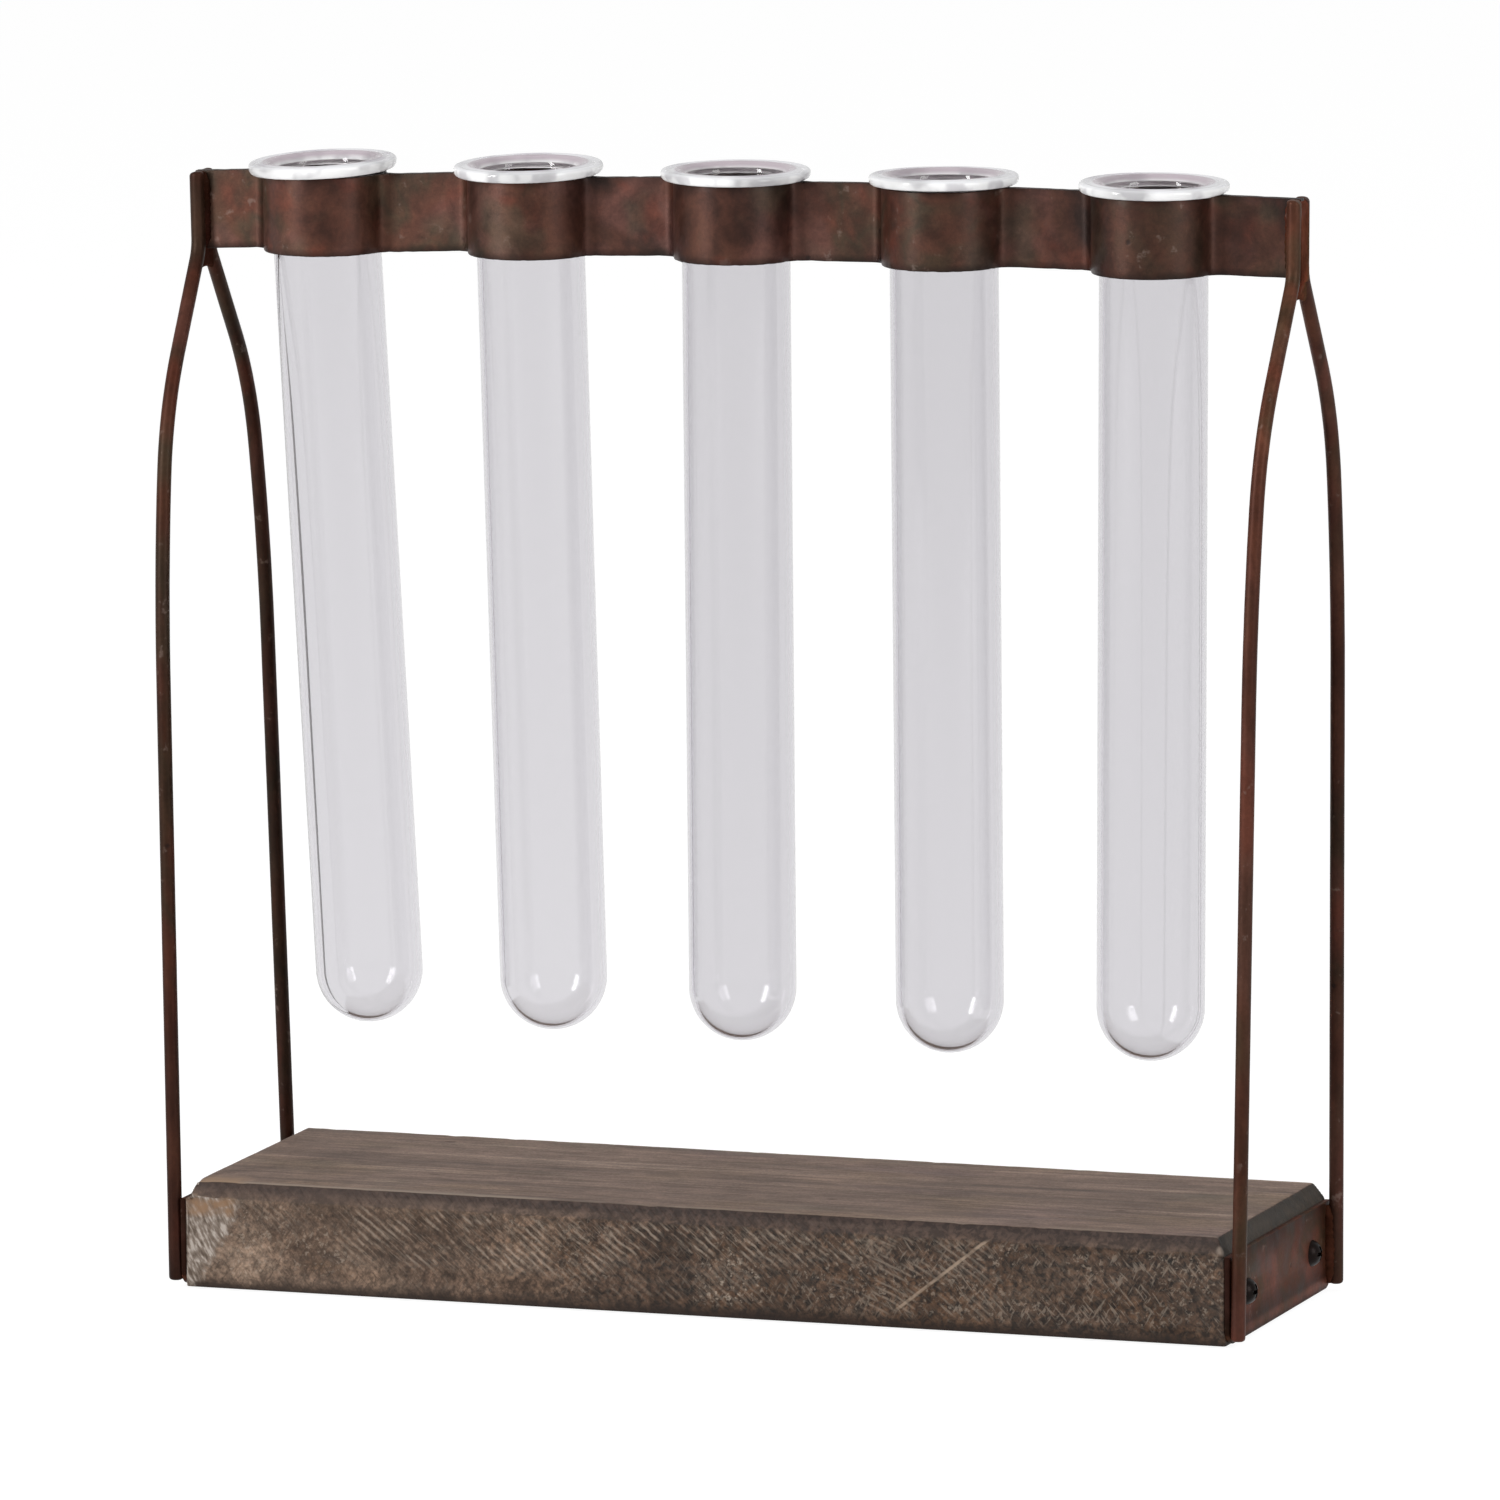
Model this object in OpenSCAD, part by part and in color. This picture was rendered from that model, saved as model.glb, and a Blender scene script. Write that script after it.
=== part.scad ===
// Bud vase with five clear glass tubes. Each tube hangs by its flared lip in
// a ring of a steel strip, and four bent rods carry the strip over a block
// of old wood. Sizes are in millimetres. X runs along the row of tubes,
// Y runs to the back and Z up. The origin is the middle of the block's
// underside. The piece is made by hand, so its row of rings is a little out
// of level and the tubes lean a little, each in its own way.

/* [Wooden block] */
// Length of the block
block_l = 254; // [200:1:320]
// Depth of the block
block_w = 76; // [68:1:100]
// Height of the block
block_h = 25; // [20:0.5:40]
// Width of the chamfer on the front and back top edges
side_chamfer_w = 2.5; // [1:0.1:5]
// Height of the chamfer on the front and back top edges
side_chamfer_h = 3.5; // [1:0.1:6]
// Width of the chamfer on the two end top edges
end_chamfer_w = 2; // [1:0.1:5]
// Height of the chamfer on the two end top edges
end_chamfer_h = 4.2; // [1:0.1:6]

/* [End plates] */
// Thickness of an end plate
plate_t = 1.2; // [0.8:0.1:2.5]
// Radius of a plate's lower corners
plate_corner_r = 3.5; // [1:0.5:6]
// How far a plate's edges stay inside the block's faces
plate_inset = 0.3; // [0:0.1:2]

/* [Screws] */
// Distance from a plate's front or rear edge to the nearer screw
screw_inset = 13.7; // [8:0.1:25]
// Diameter of a screw's shank
screw_d = 3; // [2:0.1:4]
// Length of a screw's shank under the head
screw_l = 16; // [8:1:30]
// Diameter of a screw's round head
head_d = 6.2; // [4.5:0.1:8]
// Height of a screw's round head
head_h = 2.3; // [1:0.1:3]
// Width of a slot of the cross recess
recess_w = 0.9; // [0.5:0.1:1.2]
// Length of a slot of the cross recess
recess_l = 3.4; // [2:0.1:4]
// Depth of the cross recess
recess_h = 1.1; // [0.5:0.1:1.5]

/* [Legs] */
// Diameter of the leg rod
rod_d = 3.4; // [2.5:0.1:5]
// How far a leg's axis stands inside the plate's edge at its foot
leg_inset = 1.1; // [0:0.1:6]
// Height of a leg's lower end above the ground
foot_z = 1.3; // [0.5:0.1:4]
// How far a leg leans outwards along X from its foot to its top
leg_splay = 4; // [0:0.5:10]
// Inward lean of a leg's straight lower part, in degrees
low_lean = 1.4; // [0:0.1:3]
// Lean where the shoulder's wide bend meets its tight one, in degrees
mid_lean = 9.2; // [6:0.1:14]
// Lean of the straight run under the neck, in degrees
neck_lean = 34; // [28:0.5:45]
// Radius of the shoulder's wide bend
wide_r = 350; // [200:5:420]
// Radius of the shoulder's tight bend
tight_r = 67.5; // [40:0.5:80]
// Radius of the bend back to upright at the neck
neck_r = 9.3; // [5:0.1:14]
// How far the neck's bend reaches above the strip's lower edge
neck_bend_lap = 3; // [0:0.5:8]
// Chamfer on a rod's cut ends
rod_chamfer = 0.8; // [0.2:0.1:1.2]
// Width of a weld bead beside its rod
weld_w = 1.6; // [0.5:0.1:3]

/* [Ring strips] */
// Height of the two strips
strip_h = 18.3; // [12:0.1:26]
// Thickness of one strip
strip_t = 1.2; // [0.8:0.1:2]
// Gap between the block and the tubes' round bottoms
hang_gap = 32.5; // [10:0.5:60]
// How much the row climbs from its middle to the right, and falls to the left
row_climb = 1; // [0:0.1:3]
// How much the row bows down at both ends
row_bow = 1.1; // [0:0.1:3]
// How far the row of rings sits to the right of the middle, or below zero to the left
row_shift = -1.9; // [-4:0.1:4]
// Distance from the rods at an end of the row to the first ring's middle
end_run = 32.7; // [24:0.1:45]
// Radius of the bend where a ring leaves the flat
root_r = 1.6; // [0.5:0.1:3]
// How far the strips reach past the legs' axes
strip_lap = 1; // [0:0.1:1.5]
// Gap between a rod and the strip that it is welded to
neck_gap = 0.15; // [0:0.05:0.5]

/* [Glass tubes] */
// Outer diameter of a tube
tube_d = 25; // [20:0.5:28]
// Wall of a tube
tube_wall = 1.2; // [0.8:0.1:2]
// Whole length of a tube with its lip
tube_l = 203.5; // [140:0.5:260]
// Diameter of the flared lip
lip_d = 34.8; // [32:0.1:40]
// Thickness of the lip
lip_t = 2; // [1.2:0.1:3]
// Radius under the lip, where it meets the tube
flare_r = 1.2; // [0.8:0.1:2]
// Radius of the mouth's rounded inner edge
mouth_r = 2.6; // [1.5:0.1:3]
// Clearance between a tube and its ring
ring_clear = 0.7; // [0.5:0.05:1.5]
// Gap between a lip and the ring that it rests on
seat_gap = 0.3; // [0.1:0.05:0.6]

/* [Hidden] */

// Fineness of the round surfaces
$fn = 72;
// Overrun of every cut past the face that it opens
over = 1;
// Clearance round a screw in its plate, and in its pilot hole
plate_hole_play = 0.3;
pilot_play = 0.05;
// How far a pilot hole runs on past the screw's tip
pilot_spare = 2;
// Length of a screw's point
point_l = 3;
// Sides of a leg rod, and the steps of its three bends
rod_sides = 16;
wide_steps = 5;
tight_steps = 9;
neck_steps = 8;
// Number of tubes, and the number of the one at the middle of the row
tubes = 5;
middle = (tubes + 1) / 2;
// Lean of each tube to the left and to the front, in degrees
tube_leans = [2.2, 0.7, -0.2, 0.3, -0.7];
tube_nods = [1.2, 1.2, 0.3, -1, 0.2];
// Where a weld bead leaves its rod, in degrees past the rod's side
weld_turn = 30;
// How far a foot's weld bead stops short of the plate's edges
weld_short = 1;

rod_r = rod_d / 2;
tube_r = tube_d / 2;
lip_r = lip_d / 2;
bore_r = tube_r - tube_wall;
head_r = head_d / 2;

plate_w = block_w - 2 * plate_inset;
plate_top = block_h - end_chamfer_h;
plate_x = block_l / 2 + plate_t;
screw_z = (plate_top + plate_inset) / 2;
screw_y = plate_w / 2 - screw_inset;

foot_x = plate_x + rod_r;
foot_half = plate_w / 2 - leg_inset;
neck_x = foot_x + leg_splay;
neck_half = strip_t + neck_gap + rod_r;
strip_end = neck_x + strip_lap;

// Distance from ring to ring, and the strips' lower edge at the row's middle
pitch = 2 * (neck_x - end_run) / (tubes - 1);
row_z = block_h + hang_gap + tube_l - lip_t - strip_h;

ring_in = tube_r + ring_clear;
ring_out = ring_in + strip_t;
root_y = strip_t + root_r;
root_turn = asin(root_y / (ring_out + root_r));
root_x = (ring_out + root_r) * cos(root_turn);

// Lower edge of the strips at a place along the row
function row_low(x) = row_z + row_climb * x / neck_x - row_bow * pow(x / neck_x, 2);

// Middle of ring or tube number k, which counts from 1 at the left
function ring_x(k) = row_shift + (k - middle) * pitch;

// Angle between the upright and a leg's own plane, on side -1 or 1
leg_rise = row_z + strip_h - foot_z;
splay = atan(leg_splay / leg_rise);

// Length of a leg in its own plane, and the height where its neck is upright
function leg_top(side) = (row_low(side * neck_x) + strip_h - foot_z) / cos(splay);
function neck_start(side) = leg_top(side) - strip_h + neck_bend_lap;

// What the three bends take off the leg's spread and off its height
bend_spread = neck_r * (1 - cos(neck_lean))
            + tight_r * (cos(mid_lean) - cos(neck_lean))
            + wide_r * (cos(low_lean) - cos(mid_lean));
bend_rise = neck_r * sin(neck_lean)
          + tight_r * (sin(neck_lean) - sin(mid_lean))
          + wide_r * (sin(mid_lean) - sin(low_lean));

// Length of the straight run under the neck, and of the straight lower part's
// height, from the foot's spread and the neck's
function straights_rise(side) = neck_start(side) - bend_rise;
function neck_run(side) =
    (foot_half - neck_half - bend_spread - straights_rise(side) * tan(low_lean))
    / (sin(neck_lean) - cos(neck_lean) * tan(low_lean));
function low_rise(side) = straights_rise(side) - neck_run(side) * cos(neck_lean);

// How far the lip's under-curve comes down at the ring's inner edge
flare_over = max(0, flare_r - ring_clear);
flare_drop = flare_r - sqrt(pow(flare_r, 2) - pow(flare_over, 2));

// Height of tube k's lip above the top of its ring, along the tube's axis
function tilt(k) = norm([tube_leans[k - 1], tube_nods[k - 1]]);
function seat(k) = seat_gap + flare_drop + ring_out * sin(tilt(k));

// Wooden block

module block_blank() {
    intersection() {
        rotate([90, 0, 90])
            translate([0, 0, -block_l / 2])
                linear_extrude(block_l)
                    chamfered(block_w, side_chamfer_w, side_chamfer_h);
        rotate([90, 0, 0])
            translate([0, 0, -block_w / 2])
                linear_extrude(block_w)
                    chamfered(block_l, end_chamfer_w, end_chamfer_h);
    }
}

// Outline of the block seen along an edge, with its two top corners cut
module chamfered(w, cut_w, cut_h) {
    polygon([[-w / 2, 0], [w / 2, 0],
             [w / 2, block_h - cut_h], [w / 2 - cut_w, block_h],
             [-w / 2 + cut_w, block_h], [-w / 2, block_h - cut_h]]);
}

module wood_base() {
    color([0.44, 0.39, 0.34])
        difference() {
            block_blank();
            for (side = [-1, 1], back = [-1, 1])
                at_screw(side, back)
                    translate([0, 0, -plate_t - screw_l - pilot_spare])
                        cylinder(d = screw_d + 2 * pilot_play, h = screw_l + pilot_spare + over);
        }
}

// End plates

module plate_outline() {
    half = plate_w / 2;
    corner = half - plate_corner_r;
    translate([-corner, plate_inset])
        square([2 * corner, plate_top - plate_inset]);
    translate([-half, plate_inset + plate_corner_r])
        square([plate_w, plate_top - plate_inset - plate_corner_r]);
    for (end = [-1, 1])
        translate([end * corner, plate_inset + plate_corner_r])
            circle(plate_corner_r);
}

module end_plate(side) {
    color([0.42, 0.34, 0.30])
        difference() {
            mirror_to(side)
                translate([block_l / 2, 0, 0])
                    rotate([90, 0, 90])
                        linear_extrude(plate_t)
                            plate_outline();
            for (back = [-1, 1])
                at_screw(side, back)
                    translate([0, 0, -plate_t - over])
                        cylinder(d = screw_d + 2 * plate_hole_play, h = plate_t + 2 * over);
        }
}

// Screws

// Turns +Z out of an end plate, at the plate's outer face on a screw's axis
module at_screw(side, back) {
    mirror_to(side)
        translate([plate_x, back * screw_y, screw_z])
            rotate([0, 90, 0])
                children();
}

// Half section of a screw. Its head's underside is at zero height.
module screw_section() {
    dome_r = (pow(head_r, 2) + pow(head_h, 2)) / (2 * head_h);
    shank_r = screw_d / 2;
    intersection() {
        translate([0, head_h - dome_r])
            circle(dome_r);
        square([head_r + over, head_h]);
    }
    polygon([[0, -screw_l], [shank_r / 4, -screw_l], [shank_r, point_l - screw_l],
             [shank_r, head_h / 4], [0, head_h / 4]]);
}

module screw() {
    difference() {
        rotate_extrude()
            screw_section();
        for (turn = [0, 90])
            rotate([0, 0, turn])
                translate([-recess_l / 2, -recess_w / 2, head_h - recess_h])
                    cube([recess_l, recess_w, recess_h + over]);
    }
}

module end_screw(side, back) {
    color([0.36, 0.30, 0.28])
        at_screw(side, back)
            screw();
}

// Legs

module mirror_to(side) {
    if (side > 0)
        children();
    else
        mirror([1, 0, 0])
            children();
}

// Directions along and across a rod that leans towards -X by an angle
function along(lean) = [-sin(lean), cos(lean)];
function across(lean) = [cos(lean), sin(lean)];

// Middle line of a leg from its foot to its top, as a list of [point, lean],
// drawn flat: X is the spread from the middle and Y the height
function leg_line(side) =
    let (low_end = [foot_half - low_rise(side) * tan(low_lean), low_rise(side)],
         wide_center = low_end - wide_r * across(low_lean),
         tight_center = wide_center + (wide_r - tight_r) * across(mid_lean),
         run_end = tight_center + tight_r * across(neck_lean) + neck_run(side) * along(neck_lean),
         neck_center = run_end + neck_r * across(neck_lean))
    [[[foot_half, 0], low_lean],
     [low_end, low_lean],
     for (lean = steps(low_lean, mid_lean, wide_steps)) [wide_center + wide_r * across(lean), lean],
     for (lean = steps(mid_lean, neck_lean, tight_steps)) [tight_center + tight_r * across(lean), lean],
     [run_end, neck_lean],
     for (lean = steps(neck_lean, 0, neck_steps)) [neck_center - neck_r * across(lean), lean],
     [[neck_half, leg_top(side)], 0]];

// Even steps that lead from a to b, without a itself
function steps(a, b, n) = [for (i = [1:n]) a + (b - a) * i / n];

// One ring of corners round the middle line, with its radius
function rod_ring(place, r) =
    [for (i = [0:rod_sides - 1])
        let (turn = 360 * i / rod_sides, out = place[0] + r * cos(turn) * across(place[1]))
        [out[0], out[1], r * sin(turn)]];

// Faces that join the rings of a closed tube, and its two flat ends
function tube_faces(rings, sides) =
    [[for (i = [sides - 1:-1:0]) i],
     for (j = [0:rings - 2], i = [0:sides - 1])
         let (a = j * sides + i, b = j * sides + (i + 1) % sides)
         each [[a, b, a + sides], [b, b + sides, a + sides]],
     [for (i = [0:sides - 1]) (rings - 1) * sides + i]];

// One leg, drawn flat, with the edges of its cut ends chamfered
module leg_flat(side) {
    line = leg_line(side);
    last = len(line) - 1;
    foot = line[0];
    top = line[last];
    end_r = rod_r - rod_chamfer;
    rings = [rod_ring(foot, end_r),
             rod_ring([foot[0] + rod_chamfer * along(foot[1]), foot[1]], rod_r),
             for (i = [1:last - 1]) rod_ring(line[i], rod_r),
             rod_ring([top[0] - rod_chamfer * along(top[1]), top[1]], rod_r),
             rod_ring(top, end_r)];
    polyhedron([for (ring = rings) each ring], tube_faces(len(rings), rod_sides));
}

// Weld bead beside an upright rod whose axis is d in front of a flat face.
// X runs along the face and Y out of it.
module bead(d, h) {
    linear_extrude(h)
        polygon([[0, 0], [rod_r + weld_w, 0],
                 [rod_r * cos(weld_turn), d + rod_r * sin(weld_turn)], [0, d]]);
}

module leg(side, back) {
    neck_low = row_low(side * neck_x);
    color([0.40, 0.31, 0.27])
        mirror_to(side) {
            translate([foot_x, 0, foot_z])
                rotate([0, splay, 0])
                    rotate([90, 0, 90])
                        scale([back, 1, 1])
                            leg_flat(side);
            translate([plate_x, back * foot_half, plate_inset + weld_short])
                scale([1, back, 1])
                    rotate([0, 0, -90])
                        bead(rod_r, plate_top - plate_inset - 2 * weld_short);
            translate([neck_x, back * strip_t, neck_low])
                scale([-1, back, 1])
                    bead(neck_half - strip_t, strip_h);
        }
}

// Ring strips

// Wedge between a ring's middle, the end of its root bend and that bend's
// middle, less a circle about the bend's middle. It blends ring and flat.
module root_blend(r) {
    for (side = [-1, 1])
        scale([side, 1])
            difference() {
                polygon([[0, 0], [-root_x, 0], [-root_x, -root_y]]);
                translate([-root_x, -root_y])
                    circle(r);
            }
}

// Plan of the front strip, with its bulges towards -Y
module strip_plan() {
    difference() {
        union() {
            translate([-strip_end, -strip_t])
                square([2 * strip_end, strip_t]);
            for (k = [1:tubes])
                translate([ring_x(k), 0]) {
                    circle(ring_out);
                    root_blend(root_r);
                }
        }
        for (k = [1:tubes])
            translate([ring_x(k), 0]) {
                circle(ring_in);
                root_blend(root_y);
            }
        translate([-strip_end - over, 0])
            square([2 * (strip_end + over), ring_out + over]);
    }
}

// Lower edge of the strips seen from the front: level under each ring and
// straight between the rings
row_edge = [[-strip_end, row_low(-strip_end)],
            for (k = [1:tubes], side = [-1, 1]) [ring_x(k) + side * root_x, row_low(ring_x(k))],
            [strip_end, row_low(strip_end)]];

module strip() {
    top_edge = [for (i = [len(row_edge) - 1:-1:0]) row_edge[i] + [0, strip_h]];
    intersection() {
        translate([0, 0, row_z - strip_h])
            linear_extrude(3 * strip_h)
                strip_plan();
        translate([0, over, 0])
            rotate([90, 0, 0])
                linear_extrude(ring_out + 2 * over)
                    polygon(concat(row_edge, top_edge));
    }
}

module front_ring_strip() {
    color([0.42, 0.30, 0.25])
        strip();
}

module rear_ring_strip() {
    color([0.38, 0.27, 0.23])
        mirror([0, 1, 0])
            strip();
}

// Glass tubes

// Half section of a tube. Its lip's underside is at zero height.
module tube_section() {
    bottom = lip_t - tube_l;
    difference() {
        union() {
            translate([0, bottom + tube_r])
                square([tube_r, -bottom - tube_r]);
            intersection() {
                translate([0, bottom + tube_r])
                    circle(tube_r);
                translate([0, bottom])
                    square([tube_r, tube_r]);
            }
            square([lip_r - lip_t / 2, lip_t]);
            translate([lip_r - lip_t / 2, lip_t / 2])
                circle(lip_t / 2);
            difference() {
                translate([tube_r, -flare_r])
                    square([flare_r, flare_r]);
                translate([tube_r + flare_r, -flare_r])
                    circle(flare_r);
            }
        }
        translate([-over, bottom + tube_r])
            square([bore_r + over, tube_l]);
        translate([0, bottom + tube_r])
            circle(bore_r);
        difference() {
            translate([bore_r - over, lip_t - mouth_r])
                square([mouth_r + over, mouth_r + over]);
            translate([bore_r + mouth_r, lip_t - mouth_r])
                circle(mouth_r);
            translate([bore_r + mouth_r, lip_t - mouth_r])
                square(mouth_r + over);
        }
    }
}

module tube(k) {
    color([0.84, 0.86, 0.88, 0.45])
        translate([ring_x(k), 0, row_low(ring_x(k)) + strip_h / 2])
            rotate([tube_nods[k - 1], -tube_leans[k - 1], 0])
                translate([0, 0, strip_h / 2 + seat(k)])
                    rotate_extrude()
                        tube_section();
}

wood_base();
end_plate(-1);  // left_end_plate
end_plate(1);  // right_end_plate
leg(-1, -1);  // left_front_leg
leg(-1, 1);  // left_rear_leg
leg(1, -1);  // right_front_leg
leg(1, 1);  // right_rear_leg
front_ring_strip();
rear_ring_strip();
tube(1);  // tube_1
tube(2);  // tube_2
tube(3);  // tube_3
tube(4);  // tube_4
tube(5);  // tube_5
end_screw(-1, -1);  // left_front_screw
end_screw(-1, 1);  // left_rear_screw
end_screw(1, -1);  // right_front_screw
end_screw(1, 1);  // right_rear_screw
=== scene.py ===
# Looks of the test-tube bud vase rack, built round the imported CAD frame.
# Sizes are in millimetres and are turned into metres where a mesh is made.
import math

import bmesh
import bpy
from mathutils import Matrix, Vector, noise


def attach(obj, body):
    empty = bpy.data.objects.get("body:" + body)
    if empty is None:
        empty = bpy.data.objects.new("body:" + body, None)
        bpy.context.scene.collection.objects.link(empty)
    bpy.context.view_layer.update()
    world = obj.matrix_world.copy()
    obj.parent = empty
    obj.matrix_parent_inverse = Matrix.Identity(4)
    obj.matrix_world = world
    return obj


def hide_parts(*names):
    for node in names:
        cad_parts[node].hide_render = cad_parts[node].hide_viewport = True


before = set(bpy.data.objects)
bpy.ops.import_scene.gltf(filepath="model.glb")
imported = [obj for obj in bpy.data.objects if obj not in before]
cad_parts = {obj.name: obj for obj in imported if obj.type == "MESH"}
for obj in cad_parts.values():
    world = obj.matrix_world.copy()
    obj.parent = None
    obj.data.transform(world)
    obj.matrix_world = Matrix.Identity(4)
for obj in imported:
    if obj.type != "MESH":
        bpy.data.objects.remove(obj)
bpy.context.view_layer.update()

# sizes, as in the CAD source
BLOCK_L, BLOCK_W, BLOCK_H = 254.0, 76.0, 25.0
SIDE_CUT_W, SIDE_CUT_H = 2.5, 3.5
END_CUT_W, END_CUT_H = 2.0, 4.2
PLATE_T, PLATE_CORNER, PLATE_INSET = 1.2, 3.5, 0.3
SCREW_INSET, SCREW_HOLE_R = 13.7, 1.8
ROD_R, LEG_INSET, FOOT_Z, SPLAY_X = 1.7, 1.1, 1.3, 4.0
LOW_LEAN, MID_LEAN, NECK_LEAN = 1.4, 9.2, 34.0
WIDE_R, TIGHT_R, NECK_R, NECK_LAP = 350.0, 67.5, 9.3, 3.0
STRIP_H, STRIP_T, ROW_Z = 18.3, 1.2, 240.7
CLIMB, BOW, SHIFT, END_RUN = 1.0, 1.1, -1.9, 32.7
ROOT_R = 3.2  # the bulges' roots, which are 1.6 in the CAD source
STRIP_LAP, NECK_GAP = 1.0, 0.15
TUBE_R, WALL, TUBE_L, LIP_R, LIP_T = 12.5, 1.2, 203.5, 17.4, 2.0
FLARE_R, MOUTH_R, RING_CLEAR, SEAT_GAP = 1.2, 2.6, 0.7, 0.3
LEANS = (2.2, 0.7, -0.2, 0.3, -0.7)
NODS = (1.2, 1.2, 0.3, -1.0, 0.2)

# sizes that only this script has
FORK_FILL = {-1: 5.4, 1: 6.2}  # depth of the weld metal under the strips, left and right
WELD_STEP = 1.9  # from ripple to ripple along a weld
FLAT_STEP = 1.6  # between stations on the strips' flats
HOLE_SIDES = 32
BEAD_R, BEAD_GAP = 16.9, 0.12  # where a lip's bead hangs lowest, and its gap to the steel
BEAD_IN, BEAD_OUT = 14.5, 15.6  # radii between which it begins to hang
RING_Y, FLAT_Y = 6.5, 3.8  # a lip lies over its ring outside RING_Y, over the flats inside FLAT_Y
BEAD_SWING = 3.2  # arm over which a tube's lean lowers it
FLOOR_Z = -0.4

# looks
WHOLE = (1.0, 1.0, 1.0)  # neither stretched nor tinted
MARKED_SHADE = 0.62  # how much darker steel is painted at a marked point: painted shade at its edges and welds, and darker towards the bottom of rods and plates
SAW_STEP, ARC_STEP = 0.00165, 0.0015  # between saw marks, in metres
MIRRORED_SKY, SKY_LIGHT = 0.70, 0.34  # strength of the world in reflections and as a light

# sizes that follow
PLATE_X = BLOCK_L / 2 + PLATE_T
PLATE_TOP = BLOCK_H - END_CUT_H
PLATE_W = BLOCK_W - 2 * PLATE_INSET
FOOT_X = PLATE_X + ROD_R
FOOT_HALF = PLATE_W / 2 - LEG_INSET
NECK_X = FOOT_X + SPLAY_X
NECK_HALF = STRIP_T + NECK_GAP + ROD_R
STRIP_END = NECK_X + STRIP_LAP
PITCH = 2 * (NECK_X - END_RUN) / 4
RING_IN = TUBE_R + RING_CLEAR
RING_OUT = RING_IN + STRIP_T
ROOT_Y = STRIP_T + ROOT_R
ROOT_TURN = math.asin(ROOT_Y / (RING_OUT + ROOT_R))
ROOT_X = (RING_OUT + ROOT_R) * math.cos(ROOT_TURN)
SPLAY = math.atan(SPLAY_X / (ROW_Z + STRIP_H - FOOT_Z))
MM = 0.001


def row_low(x):
    return ROW_Z + CLIMB * x / NECK_X - BOW * (x / NECK_X) ** 2


def ring_x(k):
    return SHIFT + (k - 3) * PITCH


def blend01(value, low, high):
    t = min(1.0, max(0.0, (value - low) / (high - low)))
    return t * t * (3 - 2 * t)


def rough(point, size, seed=0.0):
    """Smooth noise from -1 to 1 at a point in mm, with features of about that size."""
    return noise.noise(Vector((point[0] / size + seed, point[1] / size - seed, point[2] / size)))


# mesh helpers
def mark_edge(obj, values):
    """How much darker each point is painted, for the steel's material, or how far inside it lies, for
    the glass.
    """
    layer = obj.data.attributes.new("edge", "FLOAT", "POINT")
    for item, value in zip(layer.data, values):
        item.value = value


def add_object(name, mesh, smooth=True, merge=False):
    bm = bmesh.new()
    bm.from_mesh(mesh)
    if merge:
        bmesh.ops.remove_doubles(bm, verts=bm.verts, dist=2e-6)
    bmesh.ops.recalc_face_normals(bm, faces=bm.faces)
    bm.to_mesh(mesh)
    bm.free()
    for p in mesh.polygons:
        p.use_smooth = smooth
    obj = bpy.data.objects.new(name, mesh)
    bpy.context.scene.collection.objects.link(obj)
    return obj


def make_object(name, verts, faces, smooth=True):
    mesh = bpy.data.meshes.new(name)
    mesh.from_pydata([tuple(c * MM for c in v) for v in verts], [], faces)
    mesh.validate()
    return add_object(name, mesh, smooth)


def grid_faces(rows, cols, start=0, wrap=True):
    """Quads between rings of cols points each."""
    faces = []
    for j in range(rows - 1):
        for i in range(cols if wrap else cols - 1):
            a = start + j * cols + i
            b = start + j * cols + (i + 1) % cols
            faces.append((a, b, b + cols, a + cols))
    return faces


def soften(obj, angle):
    """Smooth shading that keeps edges sharper than the angle."""
    mesh = obj.data
    bm = bmesh.new()
    bm.from_mesh(mesh)
    for e in bm.edges:
        if len(e.link_faces) == 2:
            e.smooth = e.calc_face_angle(0.0) < math.radians(angle)
    bm.to_mesh(mesh)
    bm.free()


def rounded_loop(corners, segments=4):
    """Closed outline with its corners rounded. corners holds (a, b, radius)."""
    out = []
    n = len(corners)
    for i in range(n):
        prev, here, nxt = (Vector(corners[(i + d) % n][:2]) for d in (-1, 0, 1))
        r = corners[i][2]
        u, v = (prev - here).normalized(), (nxt - here).normalized()
        half = math.acos(max(-1, min(1, u.dot(v)))) / 2
        if r <= 0:
            out.append(here)
            continue
        reach = r / math.tan(half)
        centre = here + (u + v).normalized() * (r / math.sin(half))
        a, b = here + u * reach - centre, here + v * reach - centre
        turn = a.angle_signed(b)
        for s in range(segments + 1):
            c = a.copy()
            c.rotate(Matrix.Rotation(-turn * s / segments, 2))
            out.append(centre + c)
    return out


def spaced(loop, step):
    """The closed loop with its long stretches cut to about step."""
    out = []
    for a, b in zip(loop, loop[1:] + loop[:1]):
        n = max(1, math.ceil((b - a).length / step))
        out += [a.lerp(b, i / n) for i in range(n)]
    return out


def closed_tube(rings):
    """Points and faces of a run of rings, closed at both ends."""
    cols = len(rings[0])
    faces = grid_faces(len(rings), cols)
    last = (len(rings) - 1) * cols
    faces += [tuple(range(cols))[::-1], tuple(last + i for i in range(cols))]
    return [v for ring in rings for v in ring], faces


def join(name, parts):
    """One object from several lists of (verts, faces)."""
    verts, faces = [], []
    for v, f in parts:
        start = len(verts)
        verts += v
        faces += [tuple(i + start for i in face) for face in f]
    return make_object(name, verts, faces)


# material helpers
def srgb(r, g, b):
    def line(c):
        c /= 255
        return ((c + 0.055) / 1.055) ** 2.4 if c > 0.04045 else c / 12.92

    return (line(r), line(g), line(b), 1.0)


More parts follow.
